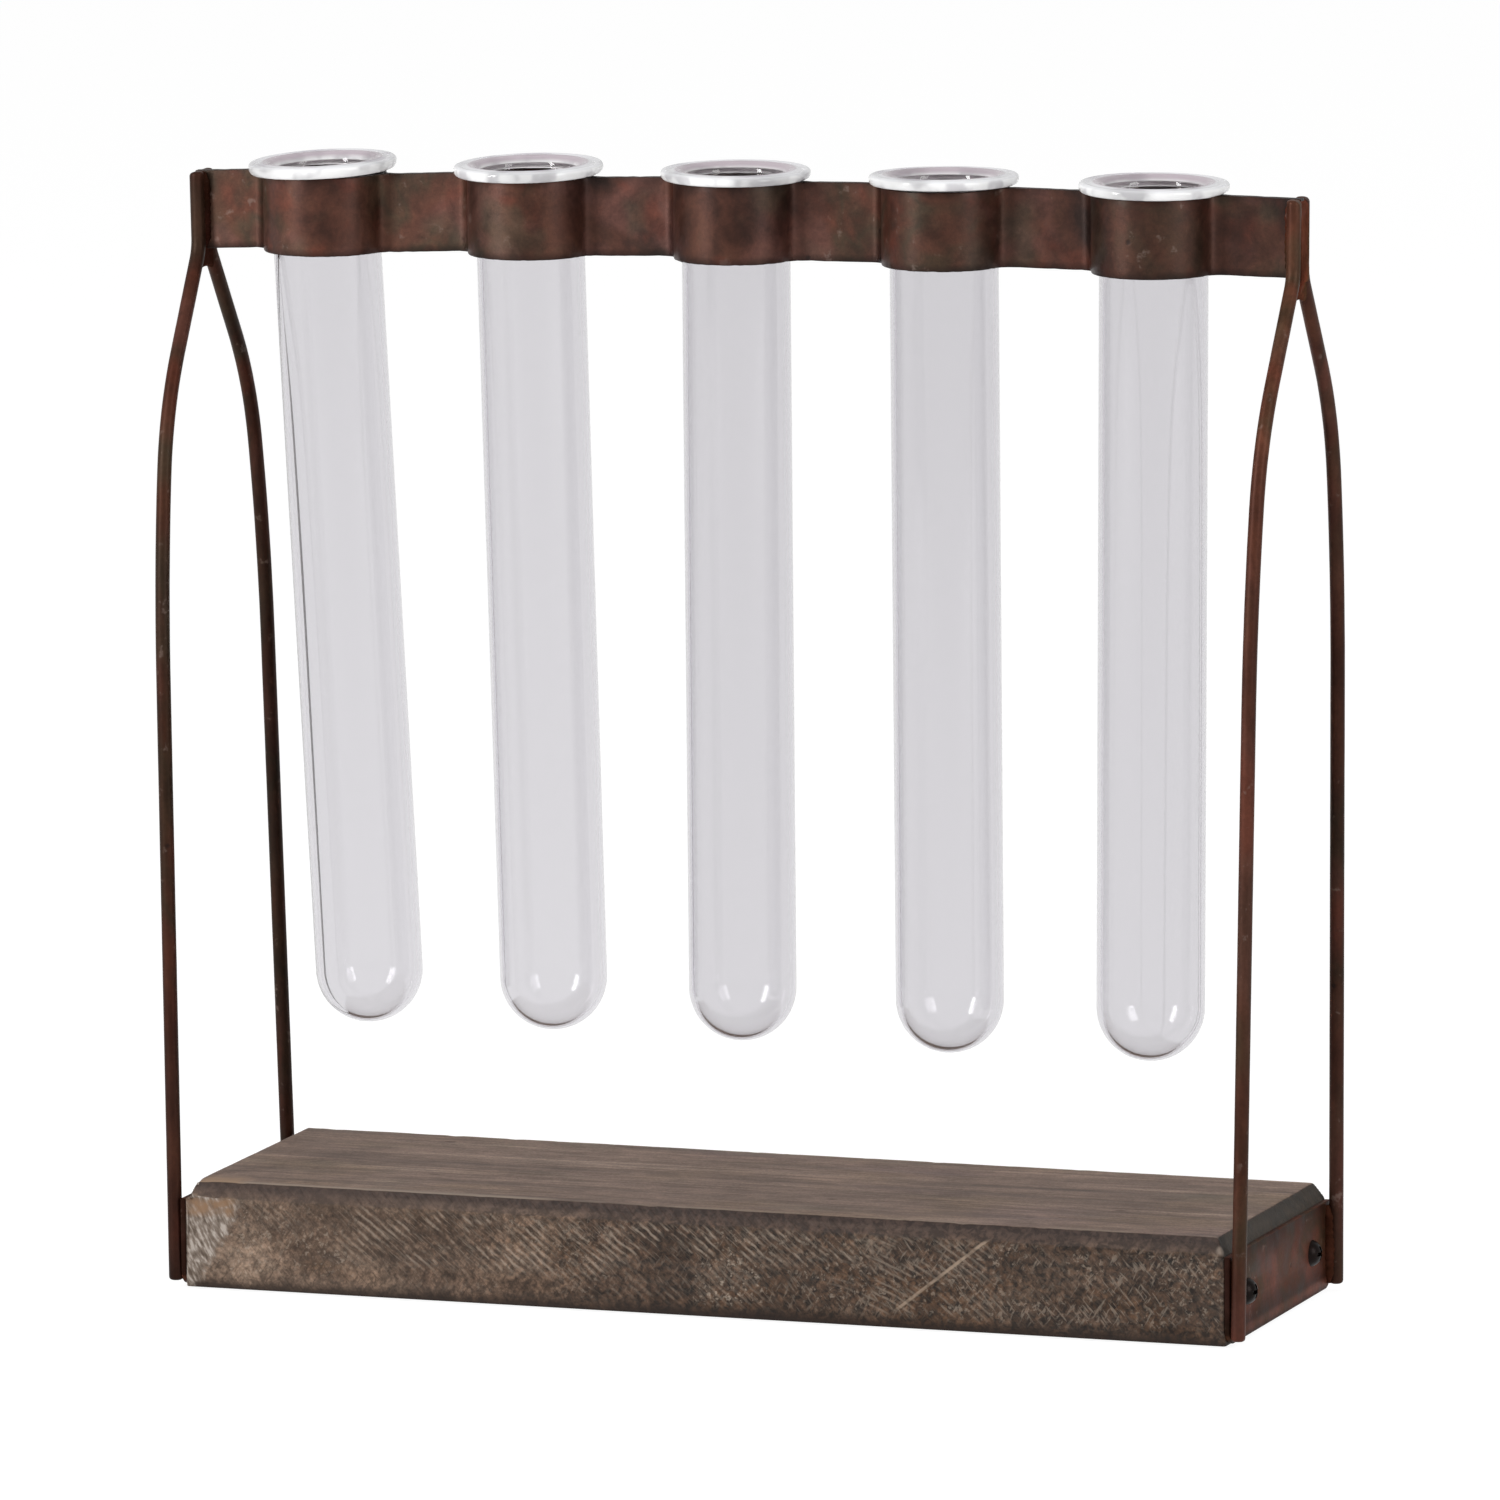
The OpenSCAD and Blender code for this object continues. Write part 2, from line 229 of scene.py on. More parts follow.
class Nodes:
    """Short calls that build a node tree."""

    def __init__(self, tree):
        self.tree = tree
        tree.nodes.clear()

    def node(self, kind, **props):
        n = self.tree.nodes.new(kind)
        for key, value in props.items():
            setattr(n, key, value)
        return n

    def put(self, socket, value):
        if isinstance(value, bpy.types.NodeSocket):
            self.tree.links.new(value, socket)
        elif value is not None:
            socket.default_value = value

    def feed(self, n, **values):
        for key, value in values.items():
            self.put(n.inputs[key], value)
        return n

    def math(self, op, a, b=None):
        n = self.node("ShaderNodeMath", operation=op)
        self.put(n.inputs[0], a)
        self.put(n.inputs[1], b)
        return n.outputs[0]

    def fold(self, op, values):
        out = values[0]
        for value in values[1:]:
            out = self.math(op, out, value)
        return out

    def times(self, *values):
        return self.fold("MULTIPLY", values)

    def plus(self, *values):
        return self.fold("ADD", values)

    def less(self, *values):
        return self.fold("SUBTRACT", values)

    def most(self, *values):
        return self.fold("MAXIMUM", values)


class Shade(Nodes):
    """A small builder of node materials."""

    def __init__(self, name):
        self.mat = bpy.data.materials.new(name)
        self.mat.use_nodes = True
        super().__init__(self.mat.node_tree)
        self.out = self.node("ShaderNodeOutputMaterial")
        self.bsdf = self.node("ShaderNodeBsdfPrincipled")
        self.put(self.out.inputs["Surface"], self.bsdf.outputs[0])
        self.place = self.node("ShaderNodeTexCoord").outputs["Object"]

    def vector(self, op, a, b=None):
        n = self.node("ShaderNodeVectorMath", operation=op)
        self.put(n.inputs[0], a)
        self.put(n.inputs[1], b)
        return n.outputs["Value" if op in ("LENGTH", "DISTANCE", "DOT_PRODUCT") else "Vector"]

    def axes(self, vec=None):
        n = self.node("ShaderNodeSeparateXYZ")
        self.put(n.inputs[0], vec or self.place)
        return n.outputs

    def noise(self, vec, scale, detail=4.0, rough=0.55, distort=0.0):
        n = self.feed(self.node("ShaderNodeTexNoise"), Vector=vec, Scale=scale, Detail=detail)
        return self.feed(n, Roughness=rough, Distortion=distort).outputs[0]

    def cells(self, vec, scale):
        n = self.feed(self.node("ShaderNodeTexVoronoi"), Vector=vec, Scale=scale)
        return n.outputs["Distance"]

    def fit(self, value, low, high, to_low=0.0, to_high=1.0, smooth=True):
        kind = "SMOOTHSTEP" if smooth else "LINEAR"
        n = self.node("ShaderNodeMapRange", clamp=True, interpolation_type=kind)
        for i, v in enumerate((value, low, high, to_low, to_high)):
            self.put(n.inputs[i], v)
        return n.outputs[0]

    def mix(self, fac, a, b, kind="MIX"):
        n = self.node("ShaderNodeMix", data_type="RGBA", blend_type=kind)
        self.put(n.inputs[0], fac)
        self.put(n.inputs[6], a)
        self.put(n.inputs[7], b)
        return n.outputs[2]

    def ramp(self, fac, *stops):
        """Each stop is its place and three sRGB values."""
        n = self.node("ShaderNodeValToRGB")
        while len(n.color_ramp.elements) < len(stops):
            n.color_ramp.elements.new(0.5)
        for e, (place, *colour) in zip(n.color_ramp.elements, stops):
            e.position = place
            e.color = srgb(*colour)
        self.put(n.inputs[0], fac)
        return n.outputs[0]

    def bump(self, height, strength, distance):
        n = self.node("ShaderNodeBump")
        return self.feed(n, Strength=strength, Distance=distance, Height=height).outputs[0]

    def set(self, name, value):
        self.put(self.bsdf.inputs[name], value)


# materials
def patina(
    name, shift, along=WHOLE, dark=1.0, glow=0.42, rosy=0.5, light_falloff=1.0, bulge=1.0, tint=WHOLE, shine=1.0
):
    """Rust-brown patina on steel under clear wax.

    dark is its level at the left end. It is the falloff factor times that at the right end, a painted
    falloff of light along the rack, and bulge times on bulges. glow is its roughness, rosy the share
    of pink, and shine is 0 where it only scatters.
    """
    s = Shade(name)
    times = s.times
    place = s.vector("ADD", s.place, shift)
    drawn = s.vector("MULTIPLY", place, along)
    broad = s.noise(drawn, 38.0, 3.0, 0.55, 0.6)
    middle = s.noise(drawn, 150.0, 6.0, 0.65, 0.3)
    fine = s.noise(place, 1100.0, 3.0, 0.6)
    stops = (0.30, 48, 30, 24), (0.42, 74, 44, 34), (0.50, 82, 51, 39), (0.58, 66, 50, 37)
    tone = s.ramp(broad, *stops, (0.70, 88, 48, 36))
    pink = s.fit(s.noise(drawn, 58.0, 3.0, 0.5, 0.4), 0.48, 0.64)
    tone = s.mix(times(pink, rosy), tone, srgb(100, 65, 58))
    red = s.fit(s.noise(drawn, 85.0, 3.0, 0.5), 0.54, 0.68)
    tone = s.mix(times(red, 0.5), tone, srgb(96, 48, 35))
    dull = s.fit(s.noise(drawn, 64.0, 2.0, 0.5), 0.55, 0.70)
    tone = s.mix(times(dull, 0.5), tone, srgb(70, 62, 49))
    shade = s.fit(middle, 0.30, 0.72, 0.66, 1.30)
    grain = s.fit(fine, 0.25, 0.75, 0.90, 1.10)
    # painted shade and darkening that the meshes mark at edges, welds and lower parts
    edge = s.node("ShaderNodeAttribute", attribute_name="edge").outputs["Fac"]
    x, y = s.axes()[:2]
    # painted light and shade: the level falls or rises from the left end to the right, as the lamps'
    # light does along the rack
    painted_falloff = s.fit(x, -0.13, 0.13, dark, dark * light_falloff, smooth=False)
    falloff_and_bulge = times(painted_falloff, s.fit(s.math("ABSOLUTE", y), 0.003, 0.009, 1.0, bulge))
    level = times(shade, grain, falloff_and_bulge, s.less(1.0, times(edge, MARKED_SHADE)))
    tone = s.mix(1.0, tone, s.vector("MULTIPLY", tint, level), "MULTIPLY")
    spot = s.fit(s.cells(place, 120.0), 0.11, 0.03)
    few = s.fit(s.noise(place, 70.0, 1.0), 0.50, 0.56)
    pit = times(spot, few)
    tone = s.mix(times(pit, 0.75), tone, srgb(30, 20, 18))
    scuff = times(s.fit(s.noise(place, 300.0, 3.0, 0.6), 0.62, 0.74), s.fit(broad, 0.44, 0.56))
    tone = s.mix(times(scuff, 0.35), tone, srgb(128, 110, 102))
    s.set("Base Color", tone)
    s.set("Metallic", 0.6 if shine > 0.5 else 0.35 if shine else 0.0)
    s.set("Roughness", s.fit(middle, 0.25, 0.75, glow - 0.07, glow + 0.11))
    s.set("Specular IOR Level", 0.25 * shine)
    s.set("Coat Weight", 0.08 * shine)
    s.set("Coat Roughness", 0.34)
    relief = s.plus(times(middle, 0.7), times(fine, 0.25))
    relief = s.less(relief, times(pit, 0.6))
    s.set("Normal", s.bump(relief, 0.40, 0.00032))
    return s.mat


def slanted(s, x, z, angle):
    """Distances across and along a line on the front and back faces that falls to the right."""
    turn = math.radians(angle)
    over = s.plus(s.times(x, math.sin(turn)), s.times(z, math.cos(turn)))
    down = s.less(s.times(x, math.cos(turn)), s.times(z, math.sin(turn)))
    return over, down


def strokes(s, slant, across, length, shift, detail=2.0):
    """Noise drawn out into short strokes along a slanted line."""
    n = s.node("ShaderNodeCombineXYZ")
    s.put(n.inputs[0], s.math("DIVIDE", slant[0], across))
    s.put(n.inputs[1], s.math("DIVIDE", slant[1], length))
    n.inputs[2].default_value = shift
    return s.noise(n.outputs[0], 1.0, detail, 0.5)


def old_wood():
    """Stained old board: long grain on top, saw marks and chalky scuffs on its sides."""
    s = Shade("old_stained_wood")
    times = s.times
    x, y, z = s.axes()
    nx, ny, nz = s.axes(s.node("ShaderNodeNewGeometry").outputs["Normal"])

    def stretched(scale, detail, rough=0.55, distort=0.0):
        return s.noise(s.vector("MULTIPLY", s.place, scale), 1.0, detail, rough, distort)

    # grain that runs along the board
    wave = stretched((5.0, 30.0, 30.0), 3.0, 0.5)
    bent = s.vector("ADD", s.place, s.vector("MULTIPLY", (0.0, 0.012, 0.012), wave))
    streak = s.noise(s.vector("MULTIPLY", bent, (9.0, 190.0, 190.0)), 1.0, 7.0, 0.62, 0.25)
    hair = s.noise(s.vector("MULTIPLY", bent, (26.0, 900.0, 900.0)), 1.0, 3.0, 0.6)
    cloud = stretched((16.0, 34.0, 34.0), 3.0)
    fine = s.noise(s.place, 1500.0, 3.0, 0.6)

    stops = (0.30, 78, 63, 56), (0.43, 106, 89, 80), (0.54, 120, 102, 93), (0.68, 140, 123, 113)
    top = s.ramp(streak, *stops)
    warm = s.fit(cloud, 0.48, 0.64)
    top = s.mix(times(warm, 0.35), top, srgb(119, 100, 80))
    cool = s.fit(stretched((20.0, 44.0, 44.0), 2.0), 0.55, 0.68)
    top = s.mix(times(cool, 0.35), top, srgb(99, 91, 80))
    mauve = s.fit(stretched((11.0, 26.0, 26.0), 2.0), 0.52, 0.66)
    top = s.mix(times(mauve, 0.4), top, srgb(122, 102, 99))
    dots = s.fit(s.cells(s.vector("MULTIPLY", s.place, (42.0, 80.0, 80.0)), 1.0), 0.085, 0.035)
    top = s.mix(times(dots, 0.6), top, srgb(60, 46, 41))
    grain = times(s.fit(fine, 0.28, 0.72, 0.82, 1.18), s.fit(hair, 0.32, 0.68, 0.80, 1.20))
    top = s.mix(1.0, top, grain, "MULTIPLY")

    patch = stretched((130.0, 260.0, 260.0), 4.0, 0.65)
    patch = times(s.fit(patch, 0.36, 0.64, 0.86, 1.14), s.fit(x, -0.09, -0.03, 1.0, 0.91))
    top = s.mix(1.0, top, s.vector("MULTIPLY", (1.0, 0.985, 0.95), patch), "MULTIPLY")

    # sides: mottled stain, with painted shade that darkens them to the right of the front
    blotch = stretched((38.0, 38.0, 60.0), 5.0, 0.62, 0.6)
    side = s.ramp(blotch, (0.28, 52, 40, 33), (0.42, 70, 57, 48), (0.54, 84, 70, 60), (0.70, 99, 85, 74))
    brown = s.fit(stretched((24.0, 24.0, 50.0), 3.0), 0.52, 0.66)
    side = s.mix(times(brown, s.fit(x, -0.06, 0.0, 0.3, 0.55)), side, srgb(84, 63, 44))
    # painted light falloff: the sides are lighter at the left end and darker to the right
    level = s.fit(x, -0.110, 0.018, 2.0, 0.66)
    mottle = s.fit(s.noise(s.place, 420.0, 4.0, 0.65), 0.34, 0.66, -0.30, 0.30)
    mottle = s.plus(times(mottle, s.fit(x, -0.09, -0.05, 0.55, 1.0)), 1.0)
    grit = s.fit(s.noise(s.place, 580.0, 3.0, 0.6, 0.5), 0.34, 0.66, -0.72, 0.72)
    grit = times(grit, s.fit(x, -0.085, 0.005, 0.45, 1.0))
    speck = times(s.fit(fine, 0.30, 0.70, 0.76, 1.24), s.plus(grit, 1.0))
    stain = s.mix(s.fit(x, -0.09, 0.0), (0.79, 0.755, 0.715, 1.0), (0.79, 0.66, 0.565, 1.0))
    heavy = s.fit(s.noise(s.place, 150.0, 3.0, 0.6), 0.36, 0.64, 0.80, 1.20)
    side = s.mix(1.0, side, s.vector("MULTIPLY", stain, times(level, mottle, speck, heavy)), "MULTIPLY")

    # saw marks that fall to the right
    wobble = times(s.noise(s.place, 45.0, 2.0), 0.0014)
    drift = times(s.noise(s.place, 210.0, 2.0), 0.0014)
    saw_slant = slanted(s, x, z, 39.0)
    drawn = strokes(s, saw_slant, 0.00046, 0.0055, 3.0)
    over = s.plus(saw_slant[0], wobble, drift)
    wave = s.math("SINE", times(over, math.tau / SAW_STEP))
    teeth = s.fit(wave, 0.05, 0.95)
    broken = s.fit(stretched((150.0, 150.0, 170.0), 3.0, 0.6), 0.44, 0.60)
    left_zone = times(s.fit(x, -0.096, -0.080), s.fit(x, -0.008, -0.026), s.fit(z, 0.0055, 0.0100))
    weak_zone = s.fit(stretched((15.0, 15.0, 40.0), 2.0), 0.42, 0.58)
    weak_zone = times(weak_zone, s.fit(x, 0.0, 0.03, 0.55, 0.2))
    edge_zone = times(s.fit(z, 0.0105, 0.0155), s.fit(x, -0.040, -0.020), s.fit(x, 0.056, 0.034))
    zone = s.most(weak_zone, edge_zone, left_zone)
    light = times(s.fit(drawn, 0.52, 0.66), 0.55)
    saw = times(s.most(times(teeth, broken), light), zone)

    # arcs of a round blade and short cross strokes on the right half
    far = s.vector("DISTANCE", s.place, (0.020, -0.038, -0.050))
    far = s.plus(far, s.plus(wobble, times(drift, 0.5)))
    arc = s.fit(s.math("SINE", times(far, math.tau / ARC_STEP)), 0.0, 1.0)
    arc = times(arc, s.fit(x, 0.022, 0.044), s.fit(x, 0.085, 0.062), broken, 0.7)
    cross = strokes(s, slanted(s, x, z, -58.0), 0.00078, 0.0040, 9.0)
    down = strokes(s, slanted(s, x, z, 50.0), 0.00072, 0.0048, 5.0)
    hatch = s.most(s.fit(cross, 0.56, 0.68), s.fit(down, 0.55, 0.67))
    hatch = times(hatch, s.fit(x, 0.000, 0.060, 0.35, 0.70))
    hatch = times(hatch, s.fit(stretched((60.0, 60.0, 110.0), 2.0), 0.36, 0.54))
    dents = s.most(s.fit(cross, 0.44, 0.34), s.fit(down, 0.44, 0.34))
    marks = s.most(saw, arc, hatch)

    # chalky crumbs
    crumbs = s.fit(s.noise(s.place, 860.0, 3.0, 0.6), 0.55, 0.68)
    crumb_zone = s.fit(s.noise(s.place, 42.0, 2.0), 0.40, 0.58)
    heap = s.vector("DISTANCE", s.place, (0.008, -0.038, 0.008))
    crumb_zone = s.most(times(crumb_zone, 0.6), s.fit(heap, 0.014, 0.004))
    marks = times(marks, s.fit(x, -0.070, -0.045, 0.43, 0.53))
    chalk = s.most(marks, times(crumbs, crumb_zone, 0.75))
    chalk = times(chalk, s.fit(z, 0.0010, 0.005), s.fit(z, 0.0228, 0.0196))
    side = s.mix(chalk, side, srgb(156, 141, 126))
    gaps = times(s.fit(wave, -0.10, -0.75), zone, 0.45, s.fit(z, 0.0228, 0.0196))
    gaps = s.most(gaps, times(dents, 0.42, s.fit(z, 0.0235, 0.0205)))
    side = s.mix(gaps, side, srgb(44, 34, 27))

    # one long light scratch that rises to the right
    rise = s.less(times(s.less(x, 0.0476), 0.786), s.less(z, 0.0038))
    rise = s.math("ABSOLUTE", s.plus(rise, times(drift, 0.22)))
    scratch = times(s.fit(rise, 0.00064, 0.00022), s.fit(z, 0.003, 0.006), s.fit(z, 0.0225, 0.0205))
    scratch = times(scratch, s.fit(ny, -0.5, -0.8))
    scratch = times(scratch, s.fit(s.noise(s.place, 300.0, 2.0), 0.36, 0.56, 0.35, 0.8))
    side = s.mix(scratch, side, srgb(150, 131, 113))

    # painted shade along the foot of the sides, where the block stands on the floor
    foot = s.fit(s.plus(z, times(wobble, 2.0)), 0.0046, 0.0014)
    side = s.mix(times(foot, 0.92), side, srgb(30, 19, 13))

    # top against sides, with painted shade on the bevel under its upper edge
    up = s.fit(nz, 0.72, 0.93)
    tone = s.mix(up, side, top)
    slope = times(s.fit(nz, 0.18, 0.42), s.fit(nz, 0.95, 0.82))
    bevel_and_shade = s.mix(s.fit(streak, 0.4, 0.6), srgb(66, 53, 47), srgb(89, 75, 67))
    # painted shade: darker at the bevel's top, under the top's front edge
    bevel_and_shade = s.mix(s.fit(z, 0.0226, 0.0240), bevel_and_shade, srgb(56, 45, 41))
    tone = s.mix(times(slope, s.fit(z, 0.0205, 0.0232, 0.35, 0.9)), tone, bevel_and_shade)
    uneven = s.fit(s.plus(patch, grit), 0.4, 1.6, 0.7, 1.25, smooth=False)
    tone = s.mix(slope, tone, s.mix(1.0, tone, uneven, "MULTIPLY"))
    end_slope = times(slope, s.fit(s.math("ABSOLUTE", nx), 0.5, 0.8))
    end_tone = s.mix(s.fit(streak, 0.4, 0.6), srgb(40, 37, 32), srgb(54, 49, 43))
    tone = s.mix(times(end_slope, 0.85), tone, end_tone)

    # pale worn line along the top's long edges
    rim = s.less(0.0355, s.math("ABSOLUTE", y))
    worn = times(s.fit(rim, 0.0030, 0.0005), up)
    worn = times(worn, s.fit(stretched((30.0, 60.0, 60.0), 3.0), 0.38, 0.60))
    worn = times(worn, s.fit(x, 0.03, -0.05, 0.45, 1.0))
    tone = s.mix(times(worn, 0.75), tone, srgb(144, 129, 116))

    # raw wood at the front left corner
    ragged = times(s.less(s.noise(s.place, 260.0, 4.0, 0.65), 0.5), 0.007)
    from_end = s.plus(x, BLOCK_L / 2 * MM, ragged)
    width = s.fit(z, 0.002, 0.0165, 0.0032, 0.0125, smooth=False)
    front = s.fit(y, -0.030, -0.0345)
    raw = times(s.fit(s.less(from_end, width), 0.0012, -0.0012), front, s.fit(nz, 0.3, 0.15))
    fibres = strokes(s, slanted(s, x, z, 62.0), 0.0009, 0.0030, 7.0, 4.0)
    pale = s.ramp(fibres, (0.36, 78, 66, 56), (0.50, 117, 105, 95), (0.62, 166, 156, 147))
    tone = s.mix(times(raw, 0.92), tone, pale)
    high = s.plus(z, times(ragged, 0.30))
    band = times(s.fit(high, 0.0163, 0.0182), s.fit(high, 0.0216, 0.0202))
    tan = times(s.fit(from_end, 0.0135, 0.0105), band, front)
    tan = times(tan, s.fit(s.noise(s.place, 330.0, 3.0, 0.6), 0.36, 0.58, 0.35, 0.95))
    tone = s.mix(tan, tone, srgb(124, 96, 72))
    lip = times(s.fit(from_end, 0.0160, 0.0105), s.fit(s.plus(y, times(ragged, 0.9)), -0.0250, -0.0350))
    lip = times(lip, up, s.fit(from_end, 0.002, 0.004))
    tone = s.mix(times(lip, 0.75), tone, srgb(148, 122, 98))
    # a painted highlight on the bevel's corner at the front right of the top
    spot = s.fit(s.vector("DISTANCE", s.place, (0.1262, -0.0372, 0.0222)), 0.0016, 0.0005)
    tone = s.mix(times(spot, 0.4), tone, srgb(168, 152, 138))

    s.set("Base Color", tone)
    s.set("Roughness", s.fit(streak, 0.3, 0.7, 0.62, 0.82))
    s.set("Specular IOR Level", 0.28)
    deep = s.plus(times(streak, 0.8), times(hair, 0.35))
    flat = times(s.noise(s.place, 620.0, 4.0, 0.65), 0.6)
    flat = s.plus(times(teeth, zone, 0.35), times(blotch, 0.5), flat)
    relief = s.mix(up, flat, deep)
    s.set("Normal", s.bump(relief, 0.55, 0.0005))
    return s.mat


def clear_glass(name, shift, base, axis, tint):
    """Clear glass whose lip is painted whitish and partly opaque: painted light for the light that the
    lip gathers. base and axis are the tube's middle line, and tint is the painted grey of its outer
    wall.
    """
    s = Shade(name)
    place = s.vector("ADD", s.place, shift)
    arm = s.vector("SUBTRACT", s.place, tuple(c * MM for c in base))
    along = s.vector("DOT_PRODUCT", arm, tuple(axis))
    inner = s.node("ShaderNodeAttribute", attribute_name="edge").outputs["Fac"]
    # the lip's painted light begins at the strips' upper edge, and 1.1 mm higher on the inner wall
    start = s.less(along, s.times(inner, 0.0011))
    rim = s.fit(start, (STRIP_H / 2 - 0.1) * MM, (STRIP_H / 2 + 0.3) * MM)
    up = s.fit(s.axes(s.node("ShaderNodeNewGeometry").outputs["Normal"])[2], 0.3, 0.8)
    # distance from the middle line, for the painted rings of light and shade on the lip's flat top
    reach = s.vector("LENGTH", s.vector("SUBTRACT", arm, s.vector("MULTIPLY", tuple(axis), along)))
    soft = s.noise(place, 75.0, 2.0, 0.5)
    flat = s.mix(s.fit(soft, 0.47, 0.60), (0.76, 0.755, 0.78, 1.0), (0.66, 0.63, 0.68, 1.0))
    flat = s.mix(s.fit(reach, 0.0144, 0.0137), flat, (0.50, 0.43, 0.47, 1.0))
    flat = s.mix(s.fit(reach, 0.0158, 0.0166), flat, (0.80, 0.80, 0.82, 1.0))
    # painted highlight: the lip's rounded edge is painted near white
    streaky = s.fit(s.noise(place, 150.0, 2.0, 0.5), 0.48, 0.62)
    bead = s.mix(streaky, (0.97, 0.97, 0.97, 1.0), (0.72, 0.71, 0.73, 1.0))
    painted_lip_light = s.mix(up, bead, flat)
    cloud = s.fit(soft, 0.35, 0.65, 0.88, 0.60)
    # painted shade: the inner wall is darker and mauve from the ring's upper half up to the lip, and
    # near white below
    ring_shade_zone = s.fit(along, (STRIP_H / 2 - 7.5) * MM, (STRIP_H / 2 - 4.5) * MM)
    neck = s.mix(ring_shade_zone, (0.985, 0.985, 0.985, 1.0), (0.86, 0.82, 0.82, 1.0))
    wall = s.mix(inner, (tint, tint - 0.014, tint + 0.014, 1.0), neck)
    s.set("Base Color", s.mix(rim, wall, painted_lip_light))
    # the lip lets less light through, so that its painted light shows
    s.set("Transmission Weight", s.less(1.0, s.times(rim, cloud)))
    s.set("IOR", 1.47)
    smear = s.noise(s.vector("MULTIPLY", place, (160.0, 160.0, 14.0)), 1.0, 3.0, 0.55)
    s.set("Roughness", s.fit(smear, 0.45, 0.75, 0.0, 0.02))
    ripple = s.noise(s.vector("MULTIPLY", place, (60.0, 60.0, 7.0)), 1.0, 2.0, 0.5)
    s.set("Normal", s.bump(ripple, 0.006, 0.0006))
    inside = s.feed(s.node("ShaderNodeVolumeAbsorption"), Color=(0.12, 0.10, 0.14, 1.0), Density=22.0)
    s.put(s.out.inputs["Volume"], inside.outputs[0])
    return s.mat


# wooden block
def wood_piece():
    half_w, top = BLOCK_W / 2, BLOCK_H
    corners = [
        (-half_w, 0, 0.9),
        (half_w, 0, 0.9),
        (half_w, top - SIDE_CUT_H, 1.8),
        (half_w - SIDE_CUT_W, top, 0.7),
        (-half_w + SIDE_CUT_W, top, 0.7),
        (-half_w, top - SIDE_CUT_H, 1.8),
    ]
    loop = spaced(rounded_loop(corners), 1.0)
    near = [0, 0.15, 0.35, 0.6, 0.95, 1.3, 1.65, 2.0, 2.35, 2.8, 3.4, 4.2, 5.2]
    middle = 226  # stations between the two ends' close ones
    half_l = BLOCK_L / 2
    stations = [-half_l + d for d in near]
    run = half_l - near[-1]
    stations += [-run + 2 * run * i / middle for i in range(1, middle)]
    stations += [half_l - d for d in reversed(near)]
    rings = []
    for x in stations:
        d = half_l - abs(x)
        t = 1 - d / END_CUT_W
        eased = t if t > 0.35 else max(0.0, t + 0.35) ** 2 / 1.4
        ceiling = top - END_CUT_H * eased
        edge = 0.7
        inset = edge - math.sqrt(edge**2 - (edge - d) ** 2) if d < edge else 0.0
        rings.append([(x, p.x * (1 - inset / half_w), min(p.y, ceiling)) for p in loop])
    obj = make_object("wood_block", *closed_tube(rings))
    mesh = obj.data
    normals = [n.vector.copy() for n in mesh.vertex_normals]
    for v, n in zip(mesh.vertices, normals):
        p = v.co / MM
        d = half_l - abs(p.x)
        if n.z < -0.5 or d < 0.05:
            continue
        deep = 0.05 + 0.10 * (0.5 + 0.5 * rough(p, 9.0))
        deep += 0.05 * abs(rough((p.x / 9, p.y, p.z), 0.9, 3.0))
        upper = abs(abs(p.y) - (half_w - SIDE_CUT_W)) + abs(p.z - top)
        to_edge = min(upper, abs(abs(p.y) - half_w) + abs(p.z - top + SIDE_CUT_H))
        nick = max(0.0, rough(p, 5.0, 7.0) - 0.25) * 1.1 + max(0.0, rough(p, 2.0, 1.0) - 0.3) * 0.5
        deep += nick * blend01(to_edge, 2.2, 0.2) * (0.25 if p.y > 0 else 0.6)
        foot_edge = abs(abs(p.y) - half_w) + p.z
        deep += (0.25 + 0.5 * max(0.0, rough(p, 7.0, 5.0))) * blend01(foot_edge, 2.4, 0.2)
        # the front left corner has lost a flake
        chip = blend01(p.x + half_l, 9.0, 0.5) * blend01(p.y, -31.0, -37.5) * blend01(p.z, 0.5, 16.0)
        deep += 0.9 * chip * (0.7 + 0.6 * rough(p, 2.5, 2.0))
        v.co -= n * (deep * MM)
    mesh.update()
    return obj


